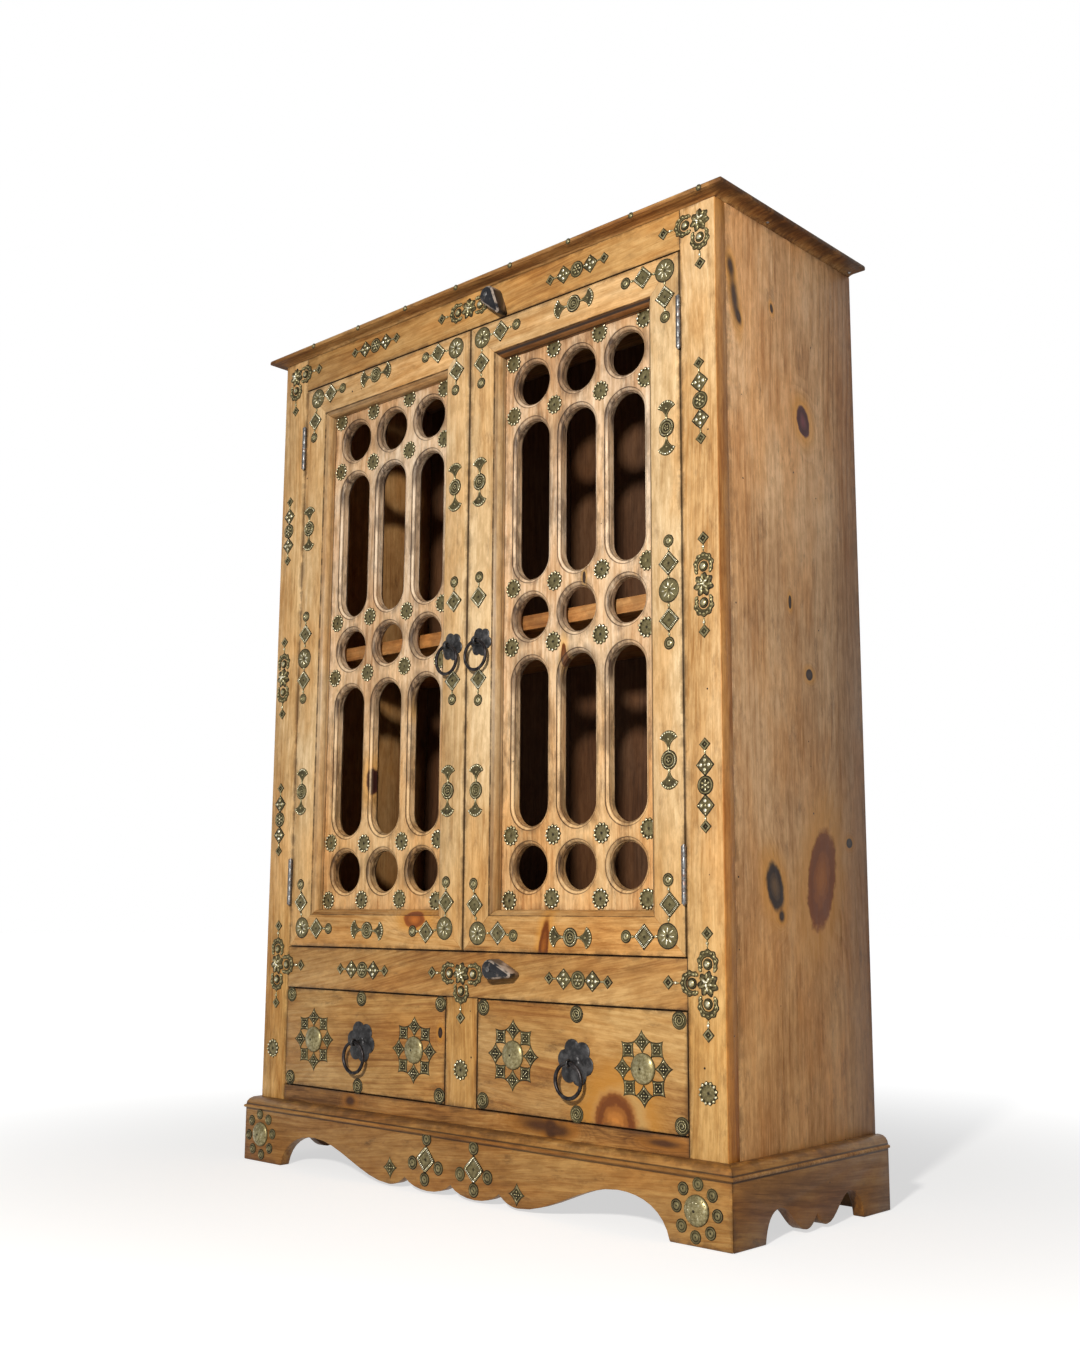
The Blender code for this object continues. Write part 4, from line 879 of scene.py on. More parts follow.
def moulding_dirt_and_shade(material, middle, half, bed, painted_shade):
    """Dirt lines either side of the moulding round a panel at the bed; the last value darkens all of it with
    painted shade.
    """
    tree, place, clean, paint = painted(material)
    out = vectors(tree, "ABSOLUTE", vectors(tree, "SUBTRACT", place, middle))
    parts = add_node(tree, "SeparateXYZ", {0: vectors(tree, "SUBTRACT", out, half)}).outputs
    away = maths(tree, "MAXIMUM", parts[0], parts[2])
    uneven = noise(tree, place, (40.0, 40.0, 40.0), 4.0, 0.65)
    quirk = maths(tree, "ABSOLUTE", maths(tree, "SUBTRACT", away, MOULDING_WIDTH))
    quirk = spread(tree, quirk, 0.0004, 0.0016, 1.0, 0.0)
    depth = add_node(tree, "SeparateXYZ", {0: place}).outputs[1]
    inside = band(tree, depth, bed - 0.0035, bed - 0.0010, bed, bed + 0.001)
    inside = maths(tree, "MULTIPLY", inside, spread(tree, away, 0.0004, 0.0026, 1.0, 0.0))
    lines = maths(tree, "MAXIMUM", inside, quirk)
    lines = maths(tree, "MULTIPLY", lines, spread(tree, uneven, 0.30, 0.60, 0.20, 0.75))
    # Painted shade over the moulding, and painted-shade lines in its grooves.
    shade = spread(tree, away, MOULDING_WIDTH - 0.0006, MOULDING_WIDTH + 0.0006, painted_shade, 0.0)
    depth = maths(tree, "SUBTRACT", depth, face_y)
    for groove in MOULDING_GROOVES:
        off = maths(tree, "ABSOLUTE", maths(tree, "SUBTRACT", depth, groove))
        line = maths(tree, "MULTIPLY", spread(tree, off, LINE_CORE, LINE_HALF, 1.0, 0.0), shade)
        lines = maths(tree, "MAXIMUM", line, lines)
    shaded = blend(tree, shade, clean, MOULDING_PAINTED_SHADE, "MULTIPLY")
    tree.links.new(blend(tree, lines, shaded, JOINT_BLACK), paint)


for side_number, word in enumerate(("left", "right")):
    hinge_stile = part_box(f"door_{word}_hinge_stile")
    meeting_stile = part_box(f"door_{word}_meeting_stile")
    left_stile, right_stile = sorted((hinge_stile, meeting_stile), key=lambda box: box[0].x)
    sight_low = Vector((left_stile[1].x, 0.0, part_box(f"door_{word}_bottom_rail")[1].z))
    sight_high = Vector((right_stile[0].x, 0.0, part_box(f"door_{word}_top_rail")[0].z))
    middle = (sight_low + sight_high) / 2
    half = (sight_high - sight_low) / 2
    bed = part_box(f"door_{word}_panel")[0].y
    for number, (member, lie) in enumerate((
        ("hinge_stile", "upright"),
        ("meeting_stile", "upright"),
        ("top_rail", "level"),
        ("bottom_rail", "level"),
    )):
        node = f"door_{word}_{member}"
        tones = DOOR_TONES if lie == "upright" else FRAME_TONES
        seed = (0.03 - 0.02 * number, 0.05 + 0.01 * side_number, 100.0 + 9.0 * number + 40.0 * side_number)
        wood = pine(
            f"waxed_{node}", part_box(node), lie, "y", seed, tones, ring_width=0.0085,
            knots=rail_knots.get(node, ()), grime=(0.008, 0.7), joint=0.7,
        )
        shade_along(wood, "z", *DOOR_FOOT_REACH, DOOR_FOOT)
        moulding_dirt_and_shade(wood, middle, half, bed, MOULDING_SHADE_SHARES[word][member])
        eased(node, f"door_{word}", wood, width=0.0009)


# The pierced panel is one thick board in the door's rebate, cut through in five rows of holes and slots.
# Each opening has a routed quirk and a rounded lip, and its edges are scorched and grimy from the cutter.
# That dark band is also painted shade, heaviest over the top of each opening, and the lip carries a painted
# highlight.
PANEL_TONES = [
    (0.05, (0.90, 0.750, 0.580)),
    (0.46, (0.75, 0.555, 0.375)),
    (0.76, (0.52, 0.325, 0.185)),
    (1.0, (0.13, 0.057, 0.024)),
]
PANEL_FOOT = (0.95, 0.785, 0.530)
# A painted shadow cast by the top rail's moulding across the top of the panel.
PANEL_HEAD_SHADOW = (0.84, 0.755, 0.660)
PANEL_FOOT_REACH = (0.75, 0.10)
PANEL_HEAD_SHADOW_REACH = (0.20, 0.03)
LIP_HIGHLIGHT = (0.92, 0.760, 0.570, 1.0)
BACK_EASE = 0.008
BACK_SPLAY = 0.0056
CUT_PAST = 0.004
HOLE_RADIUS = 0.041
LIP_RADIUS = 0.0485
LIP_CURVE = 5
QUIRK_DEPTH = 0.0014
LIP_STEP = 0.0008
LIP_LEDGE = 0.0016
HOLE_PITCH = 0.115
HOLE_COLUMNS = (-1, 0, 1)
OUTER_COLUMN = 1.49 * HOLE_PITCH
HOLE_ROWS = ((0.0, 0.5865), (0.228, 0.8155), (0.0, 1.0505), (0.228, 1.2775), (0.0, 1.5065))
HOLE_SIDES = 48
SCORCH_AND_SHADE_RISE = (-0.060, 0.012)


def opening_cutter(straight, front, back):
    """The waste of one opening, from in front of the panel to behind it, widening to the quirk at its face.

    A round hole has no straight part; a slot is parted across its middle by the length of its sides."""
    bpy.ops.object.select_all(action="DESELECT")
    bpy.ops.mesh.primitive_circle_add(
        vertices=HOLE_SIDES, radius=LIP_RADIUS, fill_type="NGON", location=(0.0, front - CUT_PAST, 0.0),
        rotation=(math.pi / 2, 0.0, 0.0),
    )
    cutter = settled("opening_cutter")
    cutter.data.transform(Matrix.Rotation(math.pi / HOLE_SIDES, 4, "Y"))
    quirk = front + QUIRK_DEPTH
    drop = LIP_RADIUS - LIP_STEP - LIP_LEDGE - HOLE_RADIUS
    levels = [(LIP_RADIUS, quirk), (LIP_RADIUS - LIP_STEP, quirk)]
    for step in range(1, LIP_CURVE + 1):
        turn = math.pi / 2 * step / LIP_CURVE
        wall = LIP_RADIUS - LIP_STEP - drop * math.sin(turn)
        levels.append((wall, quirk + drop * (1 - math.cos(turn))))
    levels.append((HOLE_RADIUS, quirk + drop))
    levels.append((HOLE_RADIUS, back - BACK_EASE))
    levels.append((HOLE_RADIUS + BACK_SPLAY, back))
    levels.append((HOLE_RADIUS + BACK_SPLAY, back + CUT_PAST))
    bpy.ops.object.mode_set(mode="EDIT")
    bpy.ops.mesh.select_all(action="SELECT")
    here = (LIP_RADIUS, front - CUT_PAST)
    for wall, depth in levels:
        bpy.ops.mesh.extrude_region_move(TRANSFORM_OT_translate={"value": (0.0, depth - here[1], 0.0)})
        share = wall / here[0]
        bpy.ops.transform.resize(value=(share, 1.0, share), center_override=(0.0, depth, 0.0))
        here = (wall, depth)
    for sign in (1, -1):
        pick_points(cutter, lambda place: place.z * sign > 0.0)
        bpy.ops.transform.translate(value=(0.0, 0.0, sign * straight / 2))
    bpy.ops.mesh.select_all(action="SELECT")
    bpy.ops.mesh.normals_make_consistent(inside=False)
    bpy.ops.object.mode_set(mode="OBJECT")
    return cutter


# How far a place on the panel is from the middle line of the nearest opening.
tree, given, told = new_group("opening_distance", {"Middle": 0.0}, ["Distance", "Above", "Across"])
parts = add_node(tree, "SeparateXYZ", {0: given["Vector"]}).outputs
across = maths(tree, "SUBTRACT", parts[0], given["Middle"])
across = maths(tree, "MAXIMUM", maths(tree, "MINIMUM", across, OUTER_COLUMN), -OUTER_COLUMN)
across = maths(tree, "WRAP", across, HOLE_PITCH / 2, -HOLE_PITCH / 2)
square = maths(tree, "MULTIPLY", across, across)
least = 1.0
above = 0.0
for straight, middle in HOLE_ROWS:
    rise = maths(tree, "SUBTRACT", parts[2], middle)
    past = maths(tree, "SUBTRACT", maths(tree, "ABSOLUTE", rise), straight / 2)
    past = maths(tree, "MAXIMUM", past, 0.0)
    line = maths(tree, "SQRT", maths(tree, "MULTIPLY_ADD", past, past, square))
    nearer = maths(tree, "LESS_THAN", line, least)
    over = spread(tree, rise, *(straight / 2 + up for up in SCORCH_AND_SHADE_RISE))
    others = maths(tree, "MULTIPLY", maths(tree, "SUBTRACT", 1.0, nearer), above)
    above = maths(tree, "MULTIPLY_ADD", nearer, over, others)
    least = maths(tree, "MINIMUM", line, least)
tell(tree, told, Distance=least, Above=above, Across=across)

# Scorch that is also painted shade round the openings, and a painted highlight on their lips.
SCORCH_AND_SHADE_BROWN = (0.070, 0.044, 0.031, 1.0)
SCORCH_AND_SHADE_REACH = (0.0470, 0.0530)
SMEAR_REACH = (0.046, 0.068)
QUIRK_BAND = (0.0468, 0.0480, 0.0486, 0.0498)
LEDGE_BAND = (0.0408, 0.0416, 0.0424, 0.0434)
LIP_HIGHLIGHT_BAND = (0.0428, 0.0440, 0.0460, 0.0470)
PLUM_HEART = (0.16, 0.055, 0.045)
left_low, left_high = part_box("door_left_panel")
left_middle = (left_low.x + left_high.x) / 2
panel_front = left_low.y
panel_knots = {
    "left": [
        ((left_middle - 0.02, panel_front, 0.770), (0.034, 0.05, 0.036), PLUM_HEART, PURPLE_RIM),
        ((left_middle + 0.085, panel_front, 0.905), (0.010, 0.03, 0.020), RED_HEART, RED_RIM),
    ],
    "right": [
        ((0.277, panel_front, 1.104), (0.004, 0.02, 0.012), BLACK_HEART, BLACK_RIM),
        ((0.228, panel_front, 0.960), (0.007, 0.02, 0.030), RED_HEART, RED_RIM),
    ],
}
for word, seed in (("left", (0.02, 0.06, 200.0)), ("right", (-0.03, 0.07, 214.0))):
    node = f"door_{word}_panel"
    low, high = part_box(node)
    middle = (low.x + high.x) / 2
    cutters = []
    for straight, z in HOLE_ROWS:
        pattern = opening_cutter(straight, low.y, high.y)
        for column in HOLE_COLUMNS:
            cutters.append(copy_at(pattern, Matrix.Translation((middle + column * HOLE_PITCH, 0.0, z))))
        bpy.data.objects.remove(pattern)
    waste = joined("panel_waste", cutters)
    panel = sawn_block(f"{node}_wood", low, high)
    cut = panel.modifiers.new("openings", "BOOLEAN")
    cut.operation = "DIFFERENCE"
    cut.solver = "EXACT"
    cut.object = waste
    bpy.ops.object.modifier_apply(modifier="openings")
    bpy.data.objects.remove(waste)
    bpy.ops.object.shade_smooth_by_angle(angle=math.radians(30.0))
    wood = pine(
        f"waxed_{node}", (low, high), "upright", "y", seed, PANEL_TONES, ring_width=0.010,
        knots=panel_knots[word], grime=(0.014, 0.75), gloss=0.52, spots=0.65,
    )
    tree, place, clean, paint = painted(wood)
    opening = use_group(tree, "opening_distance", {"Vector": place, "Middle": middle})
    patchy = noise(tree, place, (30.0, 30.0, 12.0), 5.0, 0.68)
    streaks = noise(tree, place, (160.0, 160.0, 14.0), 3.0, 0.6)
    near = opening["Distance"]
    # Scorch and grime round each opening, also standing in as painted shade, heaviest over the top of the
    # opening.
    scorch_and_shade = spread(tree, near, *SCORCH_AND_SHADE_REACH, 1.0, 0.0)
    for share in (
        spread(tree, patchy, 0.30, 0.52, 0.50, 1.0),
        spread(tree, streaks, 0.35, 0.62, 0.50, 1.0),
        spread(tree, opening["Above"], 0.0, 1.0, 0.06, 1.0),
        spread(tree, opening["Across"], -0.034, 0.030, 1.0, 0.25),
    ):
        scorch_and_shade = maths(tree, "MULTIPLY", scorch_and_shade, share)
    quirk = band(tree, near, *QUIRK_BAND)
    ledge = band(tree, near, *LEDGE_BAND)
    lines = maths(tree, "ADD", quirk, ledge)
    lines = maths(tree, "MULTIPLY", lines, spread(tree, patchy, 0.30, 0.60, 0.60, 0.95))
    # A painted highlight along the rounded lip, fainter over the top of the opening.
    worn = band(tree, near, *LIP_HIGHLIGHT_BAND)
    worn = maths(tree, "MULTIPLY", worn, spread(tree, patchy, 0.36, 0.58, 0.75, 0.20))
    worn = maths(tree, "MULTIPLY", worn, spread(tree, opening["Above"], 0.0, 1.0, 1.0, 0.35))
    smear = spread(tree, near, *SMEAR_REACH, 1.0, 0.0)
    smear = maths(tree, "MULTIPLY", smear, spread(tree, patchy, 0.46, 0.62, 0.0, 0.60))
    lip = maths(tree, "MAXIMUM", scorch_and_shade, maths(tree, "MAXIMUM", lines, smear))
    tree.links.new(blend(tree, lip, blend(tree, worn, clean, LIP_HIGHLIGHT), SCORCH_AND_SHADE_BROWN), paint)
    shade_along(wood, "z", *(low.z + reach for reach in PANEL_FOOT_REACH), PANEL_FOOT)
    # The painted shadow of the top rail's moulding over the top of the panel.
    shade_along(wood, "z", *(high.z - reach for reach in PANEL_HEAD_SHADOW_REACH), PANEL_HEAD_SHADOW)
    panel.data.materials.append(wood)
    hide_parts(node)
    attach(panel, f"door_{word}")


# Butt hinges of bright steel are let into the door edges, so that only the knuckles and the pin show.
# They are five knuckles long, a little rusty at the joints.
bright_steel = metal("bright_steel", (0.20, 0.20, 0.20), (0.050, 0.048, 0.046), 0.42, 0.9, 240.0, rust=0.6)
for word in ("left", "right"):
    for level in ("lower", "upper"):
        for leaf, body in (("frame_leaf", "carcase"), ("door_leaf", f"door_{word}")):
            eased(f"hinge_{word}_{level}_{leaf}", body, bright_steel, width=0.0004)


# Each pull is a flower-shaped plate cut from hammered black iron, with a forged eye riveted through it.
# A ring of round iron bar hangs in the eye and is free to swing.
PETALS = 6
PETAL_SHARE = 0.42
PETAL_TURN = math.radians(20.0)
PETAL_POINTS = 14
PLATE_RADII = {"door": 0.028, "drawer": 0.040}
PLATE_THICK = 0.0014
PLATE_PROFILE = (
    (0.97, 0.0021), (0.90, 0.0028), (0.72, 0.0036), (0.45, 0.0041),
    (0.30, 0.0043), (0.26, 0.0056), (0.18, 0.0060),
)
EYE_BORE = 0.0004
EYE_WALL = 0.0035
EYE_BREADTH = 1.6
STEM_RADIUS = 0.0042
STEM_SET = 0.003
STEM_TAPER = (0.62, 1.0, 0.8)
NECK_SHARE = 0.4
FORGING_SCALE = 0.02
FORGING_DEPTH = 0.0007
FORGING_LEVEL = 0.62
plate_iron = metal(
    "hammered_black_iron", (0.036, 0.035, 0.036), (0.105, 0.102, 0.104), 0.44, 0.80, 70.0, hammered=0.30,
)
ring_iron = metal(
    "handled_black_iron", (0.016, 0.013, 0.014), (0.060, 0.054, 0.054), 0.36, 0.80, 90.0, hammered=0.16,
)


def cut_sheet(name, outline, thick):
    """A flat sheet sawn to an outline, facing the front, left in edit mode with its front face selected."""
    bpy.ops.object.select_all(action="DESELECT")
    bpy.ops.mesh.primitive_circle_add(vertices=len(outline), radius=0.01)
    sheet = bpy.context.active_object
    sheet.name = name
    for point, (x, z) in zip(sheet.data.vertices, outline):
        point.co = (x, 0.0, z)
    bpy.ops.object.mode_set(mode="EDIT")
    bpy.ops.mesh.select_all(action="SELECT")
    bpy.ops.mesh.edge_face_add()
    bpy.ops.mesh.extrude_region_move(TRANSFORM_OT_translate={"value": (0.0, -thick, 0.0)})
    bpy.ops.mesh.select_all(action="SELECT")
    bpy.ops.mesh.normals_make_consistent(inside=False)
    pick_points(sheet, lambda place: place.y < -thick / 2)
    bpy.ops.mesh.select_mode(type="FACE")
    return sheet


def press(middle, base, *profile):
    """Presses the selected face out from its middle: the share of its breadth left, and its height there."""
    share_now, height_now = 1.0, base
    for share, height in profile:
        bpy.ops.mesh.extrude_region_move(TRANSFORM_OT_translate={"value": (0.0, height_now - height, 0.0)})
        step = share / share_now
        bpy.ops.transform.resize(value=(step, 1.0, step), center_override=(middle[0], 0.0, middle[1]))
        share_now, height_now = share, height


def emboss(*steps):
    """Presses the selected face in steps: how far in from its edge, and how far up."""
    for inward, up in steps:
        bpy.ops.mesh.inset(thickness=inward, depth=up)


def sheet_done(sheet, angle=35.0):
    bpy.ops.object.mode_set(mode="OBJECT")
    only_selected(sheet)
    bpy.ops.object.shade_smooth_by_angle(angle=math.radians(angle))
    return sheet


def flower_outline(radius):
    petal = radius * PETAL_SHARE
    out = radius - petal
    points = []
    for k in range(PETALS):
        for step in range(PETAL_POINTS):
            off = math.pi / PETALS * (2 * step / PETAL_POINTS - 1)
            reach = out * math.cos(off) + math.sqrt(petal**2 - (out * math.sin(off)) ** 2)
            turn = 2 * math.pi * k / PETALS + off + math.pi / 2 + PETAL_TURN
            points.append((reach * math.cos(turn), reach * math.sin(turn)))
    return points


def ring_pull(owner, body, ring_body):
    """The plate with its eye, and the ring that hangs in it, on a door or a drawer."""
    name = f"{body}_pull"
    ring_low, ring_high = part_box(f"{name}_ring")
    plate_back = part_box(f"{name}_plate")[1].y
    wire = (ring_high.y - ring_low.y) / 2
    across = (ring_high.x - ring_low.x) / 2 - wire
    hang = Vector(((ring_low.x + ring_high.x) / 2, (ring_low.y + ring_high.y) / 2, ring_high.z - wire))
    plate = cut_sheet(f"{name}_plate_iron", flower_outline(PLATE_RADII[owner]), PLATE_THICK)
    press((0.0, 0.0), PLATE_THICK, *PLATE_PROFILE)
    sheet_done(plate)
    plate.data.transform(Matrix.Translation((hang.x, plate_back, hang.z)))
    bore = wire + EYE_BORE
    bpy.ops.object.select_all(action="DESELECT")
    bpy.ops.mesh.primitive_torus_add(
        major_segments=32, minor_segments=12, major_radius=bore + EYE_WALL / 2, minor_radius=EYE_WALL / 2,
        location=hang, rotation=(0.0, math.pi / 2, 0.0),
    )
    eye = settled(f"{name}_eye")
    bpy.ops.object.mode_set(mode="EDIT")
    bpy.ops.mesh.select_all(action="SELECT")
    bpy.ops.transform.resize(value=(EYE_BREADTH, 1.0, 1.0), center_override=hang)
    bpy.ops.object.mode_set(mode="OBJECT")
    bpy.ops.object.shade_smooth()
    root = plate_back - STEM_SET
    neck = hang.y + bore + EYE_WALL * NECK_SHARE
    bpy.ops.object.select_all(action="DESELECT")
    bpy.ops.mesh.primitive_cylinder_add(
        vertices=20, radius=STEM_RADIUS, depth=root - neck, location=(hang.x, (root + neck) / 2, hang.z),
        rotation=(math.pi / 2, 0.0, 0.0),
    )
    stem = settled(f"{name}_stem")
    bpy.ops.object.mode_set(mode="EDIT")
    pick_points(stem, lambda place: place.y < (root + neck) / 2)
    bpy.ops.transform.resize(value=STEM_TAPER, center_override=(hang.x, neck, hang.z))
    bpy.ops.object.mode_set(mode="OBJECT")
    bpy.ops.object.shade_smooth_by_angle(angle=math.radians(35.0))
    plate = joined(f"{name}_plate_iron", [plate, eye, stem])
    plate.data.materials.append(plate_iron)
    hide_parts(f"{name}_plate")
    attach(plate, body)
    bpy.ops.object.select_all(action="DESELECT")
    bpy.ops.mesh.primitive_torus_add(
        major_segments=72, minor_segments=16, major_radius=across, minor_radius=wire,
        location=(hang.x, hang.y, hang.z - across), rotation=(math.pi / 2, 0.0, 0.0),
    )
    ring = settled(f"{name}_ring_iron")
    forged = bpy.data.textures.new(f"{name}_forging", "CLOUDS")
    forged.noise_scale = FORGING_SCALE
    uneven = ring.modifiers.new("forging", "DISPLACE")
    uneven.texture = forged
    uneven.texture_coords = "LOCAL"
    uneven.strength = FORGING_DEPTH
    uneven.mid_level = FORGING_LEVEL
    bpy.ops.object.modifier_apply(modifier="forging")
    bpy.ops.object.shade_smooth()
    ring.data.materials.append(ring_iron)
    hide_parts(f"{name}_ring")
    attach(ring, ring_body)


for word in ("left", "right"):
    ring_pull("door", f"door_{word}", f"door_{word}_ring")


# The drawers have flush fronts of one wide board each, with a big orange knot in the right one.
# Behind them are thin sawn boxes that run on the bottom board.
DRAWER_TONES = [
    (0.08, (0.60, 0.372, 0.148)),
    (0.44, (0.46, 0.253, 0.082)),
    (0.70, (0.31, 0.145, 0.042)),
    (1.0, (0.08, 0.032, 0.010)),
]
ORANGE_HEART = (0.58, 0.225, 0.045)
ORANGE_RIM = (0.165, 0.046, 0.008)
SAPWOOD_HEART = (0.62, 0.385, 0.150)
SAPWOOD_RIM = (0.52, 0.300, 0.100)
drawer_knots = {
    "left": [((-0.056, face_y, 0.285), (0.006, 0.03, 0.010), BLACK_HEART, BLACK_RIM)],
    "right": [
        ((0.378, face_y, 0.168), (0.056, 0.06, 0.053), SAPWOOD_HEART, SAPWOOD_RIM, 0.0, 0.24),
        ((0.367, face_y, 0.164), (0.046, 0.06, 0.051), ORANGE_HEART, ORANGE_RIM, 0.0, 0.16),
    ],
}
for number, word in enumerate(("left", "right")):
    node = f"drawer_{word}_front"
    wood = pine(
        f"waxed_{node}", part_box(node), "level", "y", (0.02, 0.05, 300.0 + 12.0 * number), DRAWER_TONES,
        ring_width=0.0095, knots=drawer_knots[word], grime=(0.007, 0.7), joint=0.85,
        slant=4.0 - 7.0 * number, spots=0.6,
    )
    eased(node, f"drawer_{word}", wood)
    for part, lie, through in (
        ("side_left", "level_side", "x"),
        ("side_right", "level_side", "x"),
        ("back", "level", "y"),
        ("bottom", "level_flat", "z"),
    ):
        node = f"drawer_{word}_{part}"
        wood = pine(f"sawn_{node}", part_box(node), lie, through, (0.02, 0.05, 320.0), SHELF_TONES, gloss=0.6)
        eased(node, f"drawer_{word}", wood, width=0.0008)
    ring_pull("drawer", f"drawer_{word}", f"drawer_{word}_ring")


# The turn-buttons are thick teardrops of wood painted black, each on one screw in the rail.
# The paint has chipped off their edges, and the back of the tip is pared to ride over the studs.
# Patches of pale wood colour are laid on the faces that look up and to the right.
BARE_WOOD = ((0.62, 0.520, 0.440, 1.0), (0.34, 0.255, 0.195, 1.0))
BLACK_PAINT = ((0.006, 0.006, 0.008, 1.0), (0.020, 0.020, 0.024, 1.0))
PAINT_SHINE = 0.35
PAINT_RELIEF = (0.5, 0.0005)
worn_paint, tree, place, shader = new_finish("chipped_black_paint")
chips = noise(tree, place, (55.0, 55.0, 55.0), 5.0, 0.6)
patches = noise(tree, place, (26.0, 26.0, 26.0), 2.0)
facing = add_node(tree, "SeparateXYZ", {0: add_node(tree, "TexCoord").outputs["Normal"]}).outputs
slanted = maths(tree, "ABSOLUTE", facing[1])
edge = band(tree, slanted, 0.25, 0.45, 0.80, 0.94)
bare = maths(tree, "MULTIPLY", edge, spread(tree, chips, 0.40, 0.54, 0.0, 0.75))
# Patches of pale wood colour on the faces that look up and to the right.
upward = maths(tree, "MULTIPLY_ADD", facing[0], 0.45, maths(tree, "MULTIPLY", facing[2], 0.89))
pale_up_right = maths(tree, "MULTIPLY", spread(tree, upward, 0.78, 0.94), spread(tree, patches, 0.40, 0.52, 0.2, 0.9))
rubbed = spread(tree, slanted, 0.95, 0.99)
rubbed = maths(tree, "MULTIPLY", rubbed, spread(tree, chips, 0.58, 0.70, 0.0, 0.30))
bare = maths(tree, "MAXIMUM", bare, maths(tree, "MAXIMUM", pale_up_right, rubbed))
fibres = noise(tree, place, (240.0, 240.0, 60.0), 3.0)
wood_colour = blend(tree, fibres, *BARE_WOOD)
paint_colour = blend(tree, spread(tree, chips, 0.4, 0.7), *BLACK_PAINT)
colour = blend(tree, bare, paint_colour, wood_colour)
relief = maths(tree, "MULTIPLY_ADD", bare, -0.6, fibres)
surface(tree, shader, colour, spread(tree, bare, 0.0, 1.0, 0.34, 0.66), relief, *PAINT_RELIEF)
shader.inputs["Specular IOR Level"].default_value = PAINT_SHINE
PARED_FROM = 0.036
PARED_SLOPE = 0.16
BUTTON_LEANS = {"upper": -54.0, "lower": -10.0}
for level, lean in BUTTON_LEANS.items():
    node = f"latch_{level}_button"
    turn_button = eased(node, f"latch_{level}", worn_paint, width=0.0012, segments=3)
    eased(f"latch_{level}_screw", "carcase", bright_steel, width=0.0004)
    screw_low, screw_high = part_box(f"latch_{level}_screw")
    pivot = (screw_low + screw_high) / 2
    aim = Vector((math.cos(math.radians(lean)), 0.0, math.sin(math.radians(lean))))
    pared = Vector((pivot.x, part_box(node)[1].y, pivot.z)) + PARED_FROM * aim
    only_selected(turn_button)
    bpy.ops.object.mode_set(mode="EDIT")
    bpy.ops.mesh.select_all(action="SELECT")
    away = PARED_SLOPE * aim + Vector((0.0, 1.0, 0.0))
    bpy.ops.mesh.bisect(plane_co=pared, plane_no=away, use_fill=True, clear_outer=True)
    bpy.ops.mesh.select_all(action="SELECT")
    bpy.ops.mesh.normals_make_consistent(inside=False)
    bpy.ops.object.mode_set(mode="OBJECT")


# The daisies are small stamped-brass studs nailed all over the panels, one between each four openings.
# Each is a flat disc in a ring of round beads; three more sit on the face frame beside the drawers.
tree, given, told = new_group("aged_brass", {"Relief": 0.5}, ["Colour", "Roughness", "Height"])
tarnish = noise(tree, given["Vector"], (170.0, 170.0, 170.0), 4.0, 0.65)
bloom = noise(tree, given["Vector"], (14.0, 14.0, 14.0), 2.0)
mottle = maths(tree, "MULTIPLY_ADD", maths(tree, "SUBTRACT", tarnish, 0.5), 2.0, 1.0)
raised = maths(tree, "MULTIPLY", given["Relief"], mottle)
brass_colour = colour_steps(tree, raised, [
    (0.0, (0.012, 0.009, 0.005)),
    (0.16, (0.032, 0.025, 0.012)),
    (0.38, (0.158, 0.128, 0.056)),
    (0.58, (0.300, 0.255, 0.124)),
    (0.80, (0.500, 0.452, 0.280)),
    (1.0, (0.880, 0.840, 0.680)),
])
GREEN_BLOOM = (0.165, 0.138, 0.056, 1.0)
BRASS_RELIEF = (0.4, 0.0006)
BRASS_SHARE = 0.7
green = blend(tree, spread(tree, bloom, 0.44, 0.68, 0.0, 0.35), brass_colour, GREEN_BLOOM)
tell(tree, told, Colour=green, Roughness=spread(tree, raised, 0.1, 0.9, 0.58, 0.25), Height=tarnish)

aged_brass, tree, place, shader = new_finish("aged_brass")
relief = add_node(tree, "Attribute", attribute_name="relief").outputs["Fac"]
old = use_group(tree, "aged_brass", {"Vector": place, "Relief": relief})
surface(tree, shader, old["Colour"], old["Roughness"], old["Height"], *BRASS_RELIEF)
shader.inputs["Metallic"].default_value = BRASS_SHARE

bpy.ops.object.select_all(action="DESELECT")
bpy.ops.mesh.primitive_uv_sphere_add(segments=8, ring_count=6, radius=1.0, rotation=(math.pi / 2, 0.0, 0.0))
bead = settled("bead_pattern")
bpy.ops.object.mode_set(mode="EDIT")
bpy.ops.mesh.select_all(action="SELECT")
bpy.ops.mesh.bisect(plane_co=(0.0, 0.2, 0.0), plane_no=(0.0, 1.0, 0.0), use_fill=True, clear_outer=True)
bpy.ops.object.mode_set(mode="OBJECT")
bpy.ops.object.shade_smooth()


def beads(places, size, base):
    """Pressed bumps of one size, (across, up, along), at places on a sheet; a third number turns one."""
    made = []
    for place in places:
        angle = math.radians(place[2]) if len(place) > 2 else 0.0
        spot = Matrix.Translation((place[0], -base, place[1])) @ Matrix.Rotation(-angle, 4, "Y")
        made.append(copy_at(bead, spot @ Matrix.Diagonal((*size, 1.0))))
    return made


def circle_outline(radius, sides, waves=0, wave=0.0):
    points = []
    for step in range(sides):
        turn = 2 * math.pi * step / sides
        reach = radius + wave * math.cos(waves * turn)
        points.append((reach * math.sin(turn), reach * math.cos(turn)))
    return points


def diamond_outline(reach, x=0.0):
    return [(x, reach), (x + reach, 0.0), (x, -reach), (x - reach, 0.0)]


def ring_places(count, radius, start=0.0, turned=False):
    """Places evenly round a circle; turned ones also point outwards."""
    spots = []
    for number in range(count):
        angle = start + 360.0 * number / count
        spot = (radius * math.cos(math.radians(angle)), radius * math.sin(math.radians(angle)))
        spots.append((*spot, angle) if turned else spot)
    return spots


